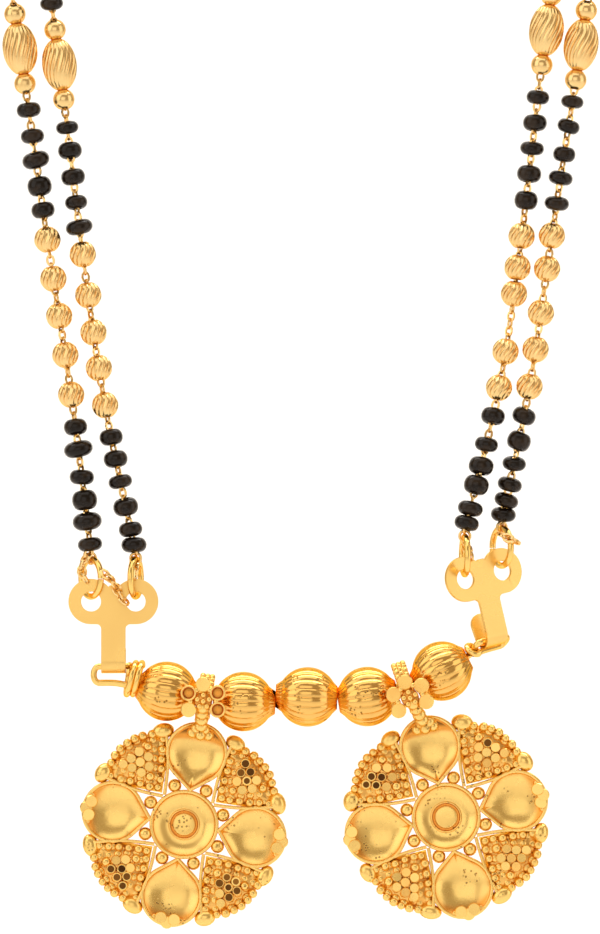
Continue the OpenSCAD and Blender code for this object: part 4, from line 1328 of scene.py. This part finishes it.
class MANGALSUTRA_OT_bar(bpy.types.Operator):
    """Adds the bar wire and its five fluted beads."""
    bl_idname = "mangalsutra.bar"
    bl_label = "Add bar and fluted beads"

    def execute(self, context):
        sizes, finish = millimetres(context.scene.mangalsutra_bar), finishes()
        bar = tube(bar_path(), sizes.wire_d / 2, 12)
        piece("bar", bar, finish["Wire gold"], STRANDS, 60, ["bar_wire"])
        for i in FLUTED:
            piece(f"fluted_ball_{i}", fluted_bead(i, sizes), finish["Bead gold"], STRANDS, 50,
                  [f"fluted_bead_{i}"])
        return {"FINISHED"}


class MANGALSUTRA_OT_pendants(bpy.types.Operator):
    """Adds the two pendants: rosette, bail and their cut faces."""
    bl_idname = "mangalsutra.pendants"
    bl_label = "Add pendants"

    def execute(self, context):
        sizes, finish = millimetres(context.scene.mangalsutra_pendants), finishes()
        for seed, (side, spec) in enumerate(PENDANTS.items(), PENDANT_SEED):
            chance = np.random.default_rng(seed)
            axes = about_y(spec["turn"]) @ STANDING
            face, cut = (placed(shape, axes, spec["at"]) for shape in rosette(sizes, chance, spec["pits_and_painted_facets"]))
            top, discs = bail(side, sizes, chance)
            name = f"{side}_vati"
            piece(name, joined([face, top]), finish["Pendant gold"], name, 50,
                  [f"{side}_pendant"])
            piece(f"{name}_cuts", joined([cut, discs]), finish["Face gold"], name, 35)
        return {"FINISHED"}


class MANGALSUTRA_OT_stage(bpy.types.Operator):
    """Adds the floor and wall, the soft lights and the camera."""
    bl_idname = "mangalsutra.stage"
    bl_label = "Add stage"

    def execute(self, context):
        sizes = millimetres(context.scene.mangalsutra_stage)
        ground = plain("floor_and_wall", sweep(sizes.wall_y * MM, -sizes.floor_z * MM), paper("Paper"))
        for name, spec in LAMPS.items():
            lamp(name, *spec)
        context.scene.world = studio("Studio", (1.0, 0.8, 0.56, 1.0), 0.46)
        context.scene.view_settings.view_transform = "Standard"
        camera(sizes.distance)
        return {"FINISHED"}


class MANGALSUTRA_PT_panel(bpy.types.Panel):
    """Buttons and sizes in the sidebar."""
    bl_idname = "MANGALSUTRA_PT_panel"
    bl_label = "Mangalsutra"
    bl_space_type = "VIEW_3D"
    bl_region_type = "UI"
    bl_category = "Mangalsutra"

    def draw(self, context):
        for operator in OPERATORS:
            self.layout.operator(operator.bl_idname)
        for name in GROUPS:
            group = getattr(context.scene, name)
            box = self.layout.box()
            for prop in own(group):
                box.prop(group, prop.identifier)


GROUPS = {"mangalsutra_strands": StrandSizes, "mangalsutra_bar": BarSizes,
          "mangalsutra_pendants": PendantSizes, "mangalsutra_finish": FinishColours,
          "mangalsutra_stage": StageSizes}
OPERATORS = (MANGALSUTRA_OT_chains, MANGALSUTRA_OT_strand_beads, MANGALSUTRA_OT_rings,
             MANGALSUTRA_OT_hook_plates, MANGALSUTRA_OT_bar, MANGALSUTRA_OT_pendants, MANGALSUTRA_OT_stage)


def register():
    """Adds the property groups, the operators and the panel to Blender."""
    for name, group in GROUPS.items():
        bpy.utils.register_class(group)
        setattr(bpy.types.Scene, name, bpy.props.PointerProperty(type=group))
    for one in (*OPERATORS, MANGALSUTRA_PT_panel):
        bpy.utils.register_class(one)


def unregister():
    """Takes away what register added, last things first."""
    for one in reversed((*OPERATORS, MANGALSUTRA_PT_panel)):
        bpy.utils.unregister_class(one)
    for name, group in GROUPS.items():
        delattr(bpy.types.Scene, name)
        bpy.utils.unregister_class(group)


def main():
    """Builds the whole scene."""
    register()
    bpy.ops.mangalsutra.chains()
    bpy.ops.mangalsutra.strand_beads()
    bpy.ops.mangalsutra.rings()
    bpy.ops.mangalsutra.hook_plates()
    bpy.ops.mangalsutra.bar()
    bpy.ops.mangalsutra.pendants()
    bpy.ops.mangalsutra.stage()


if __name__ == "__main__":
    main()
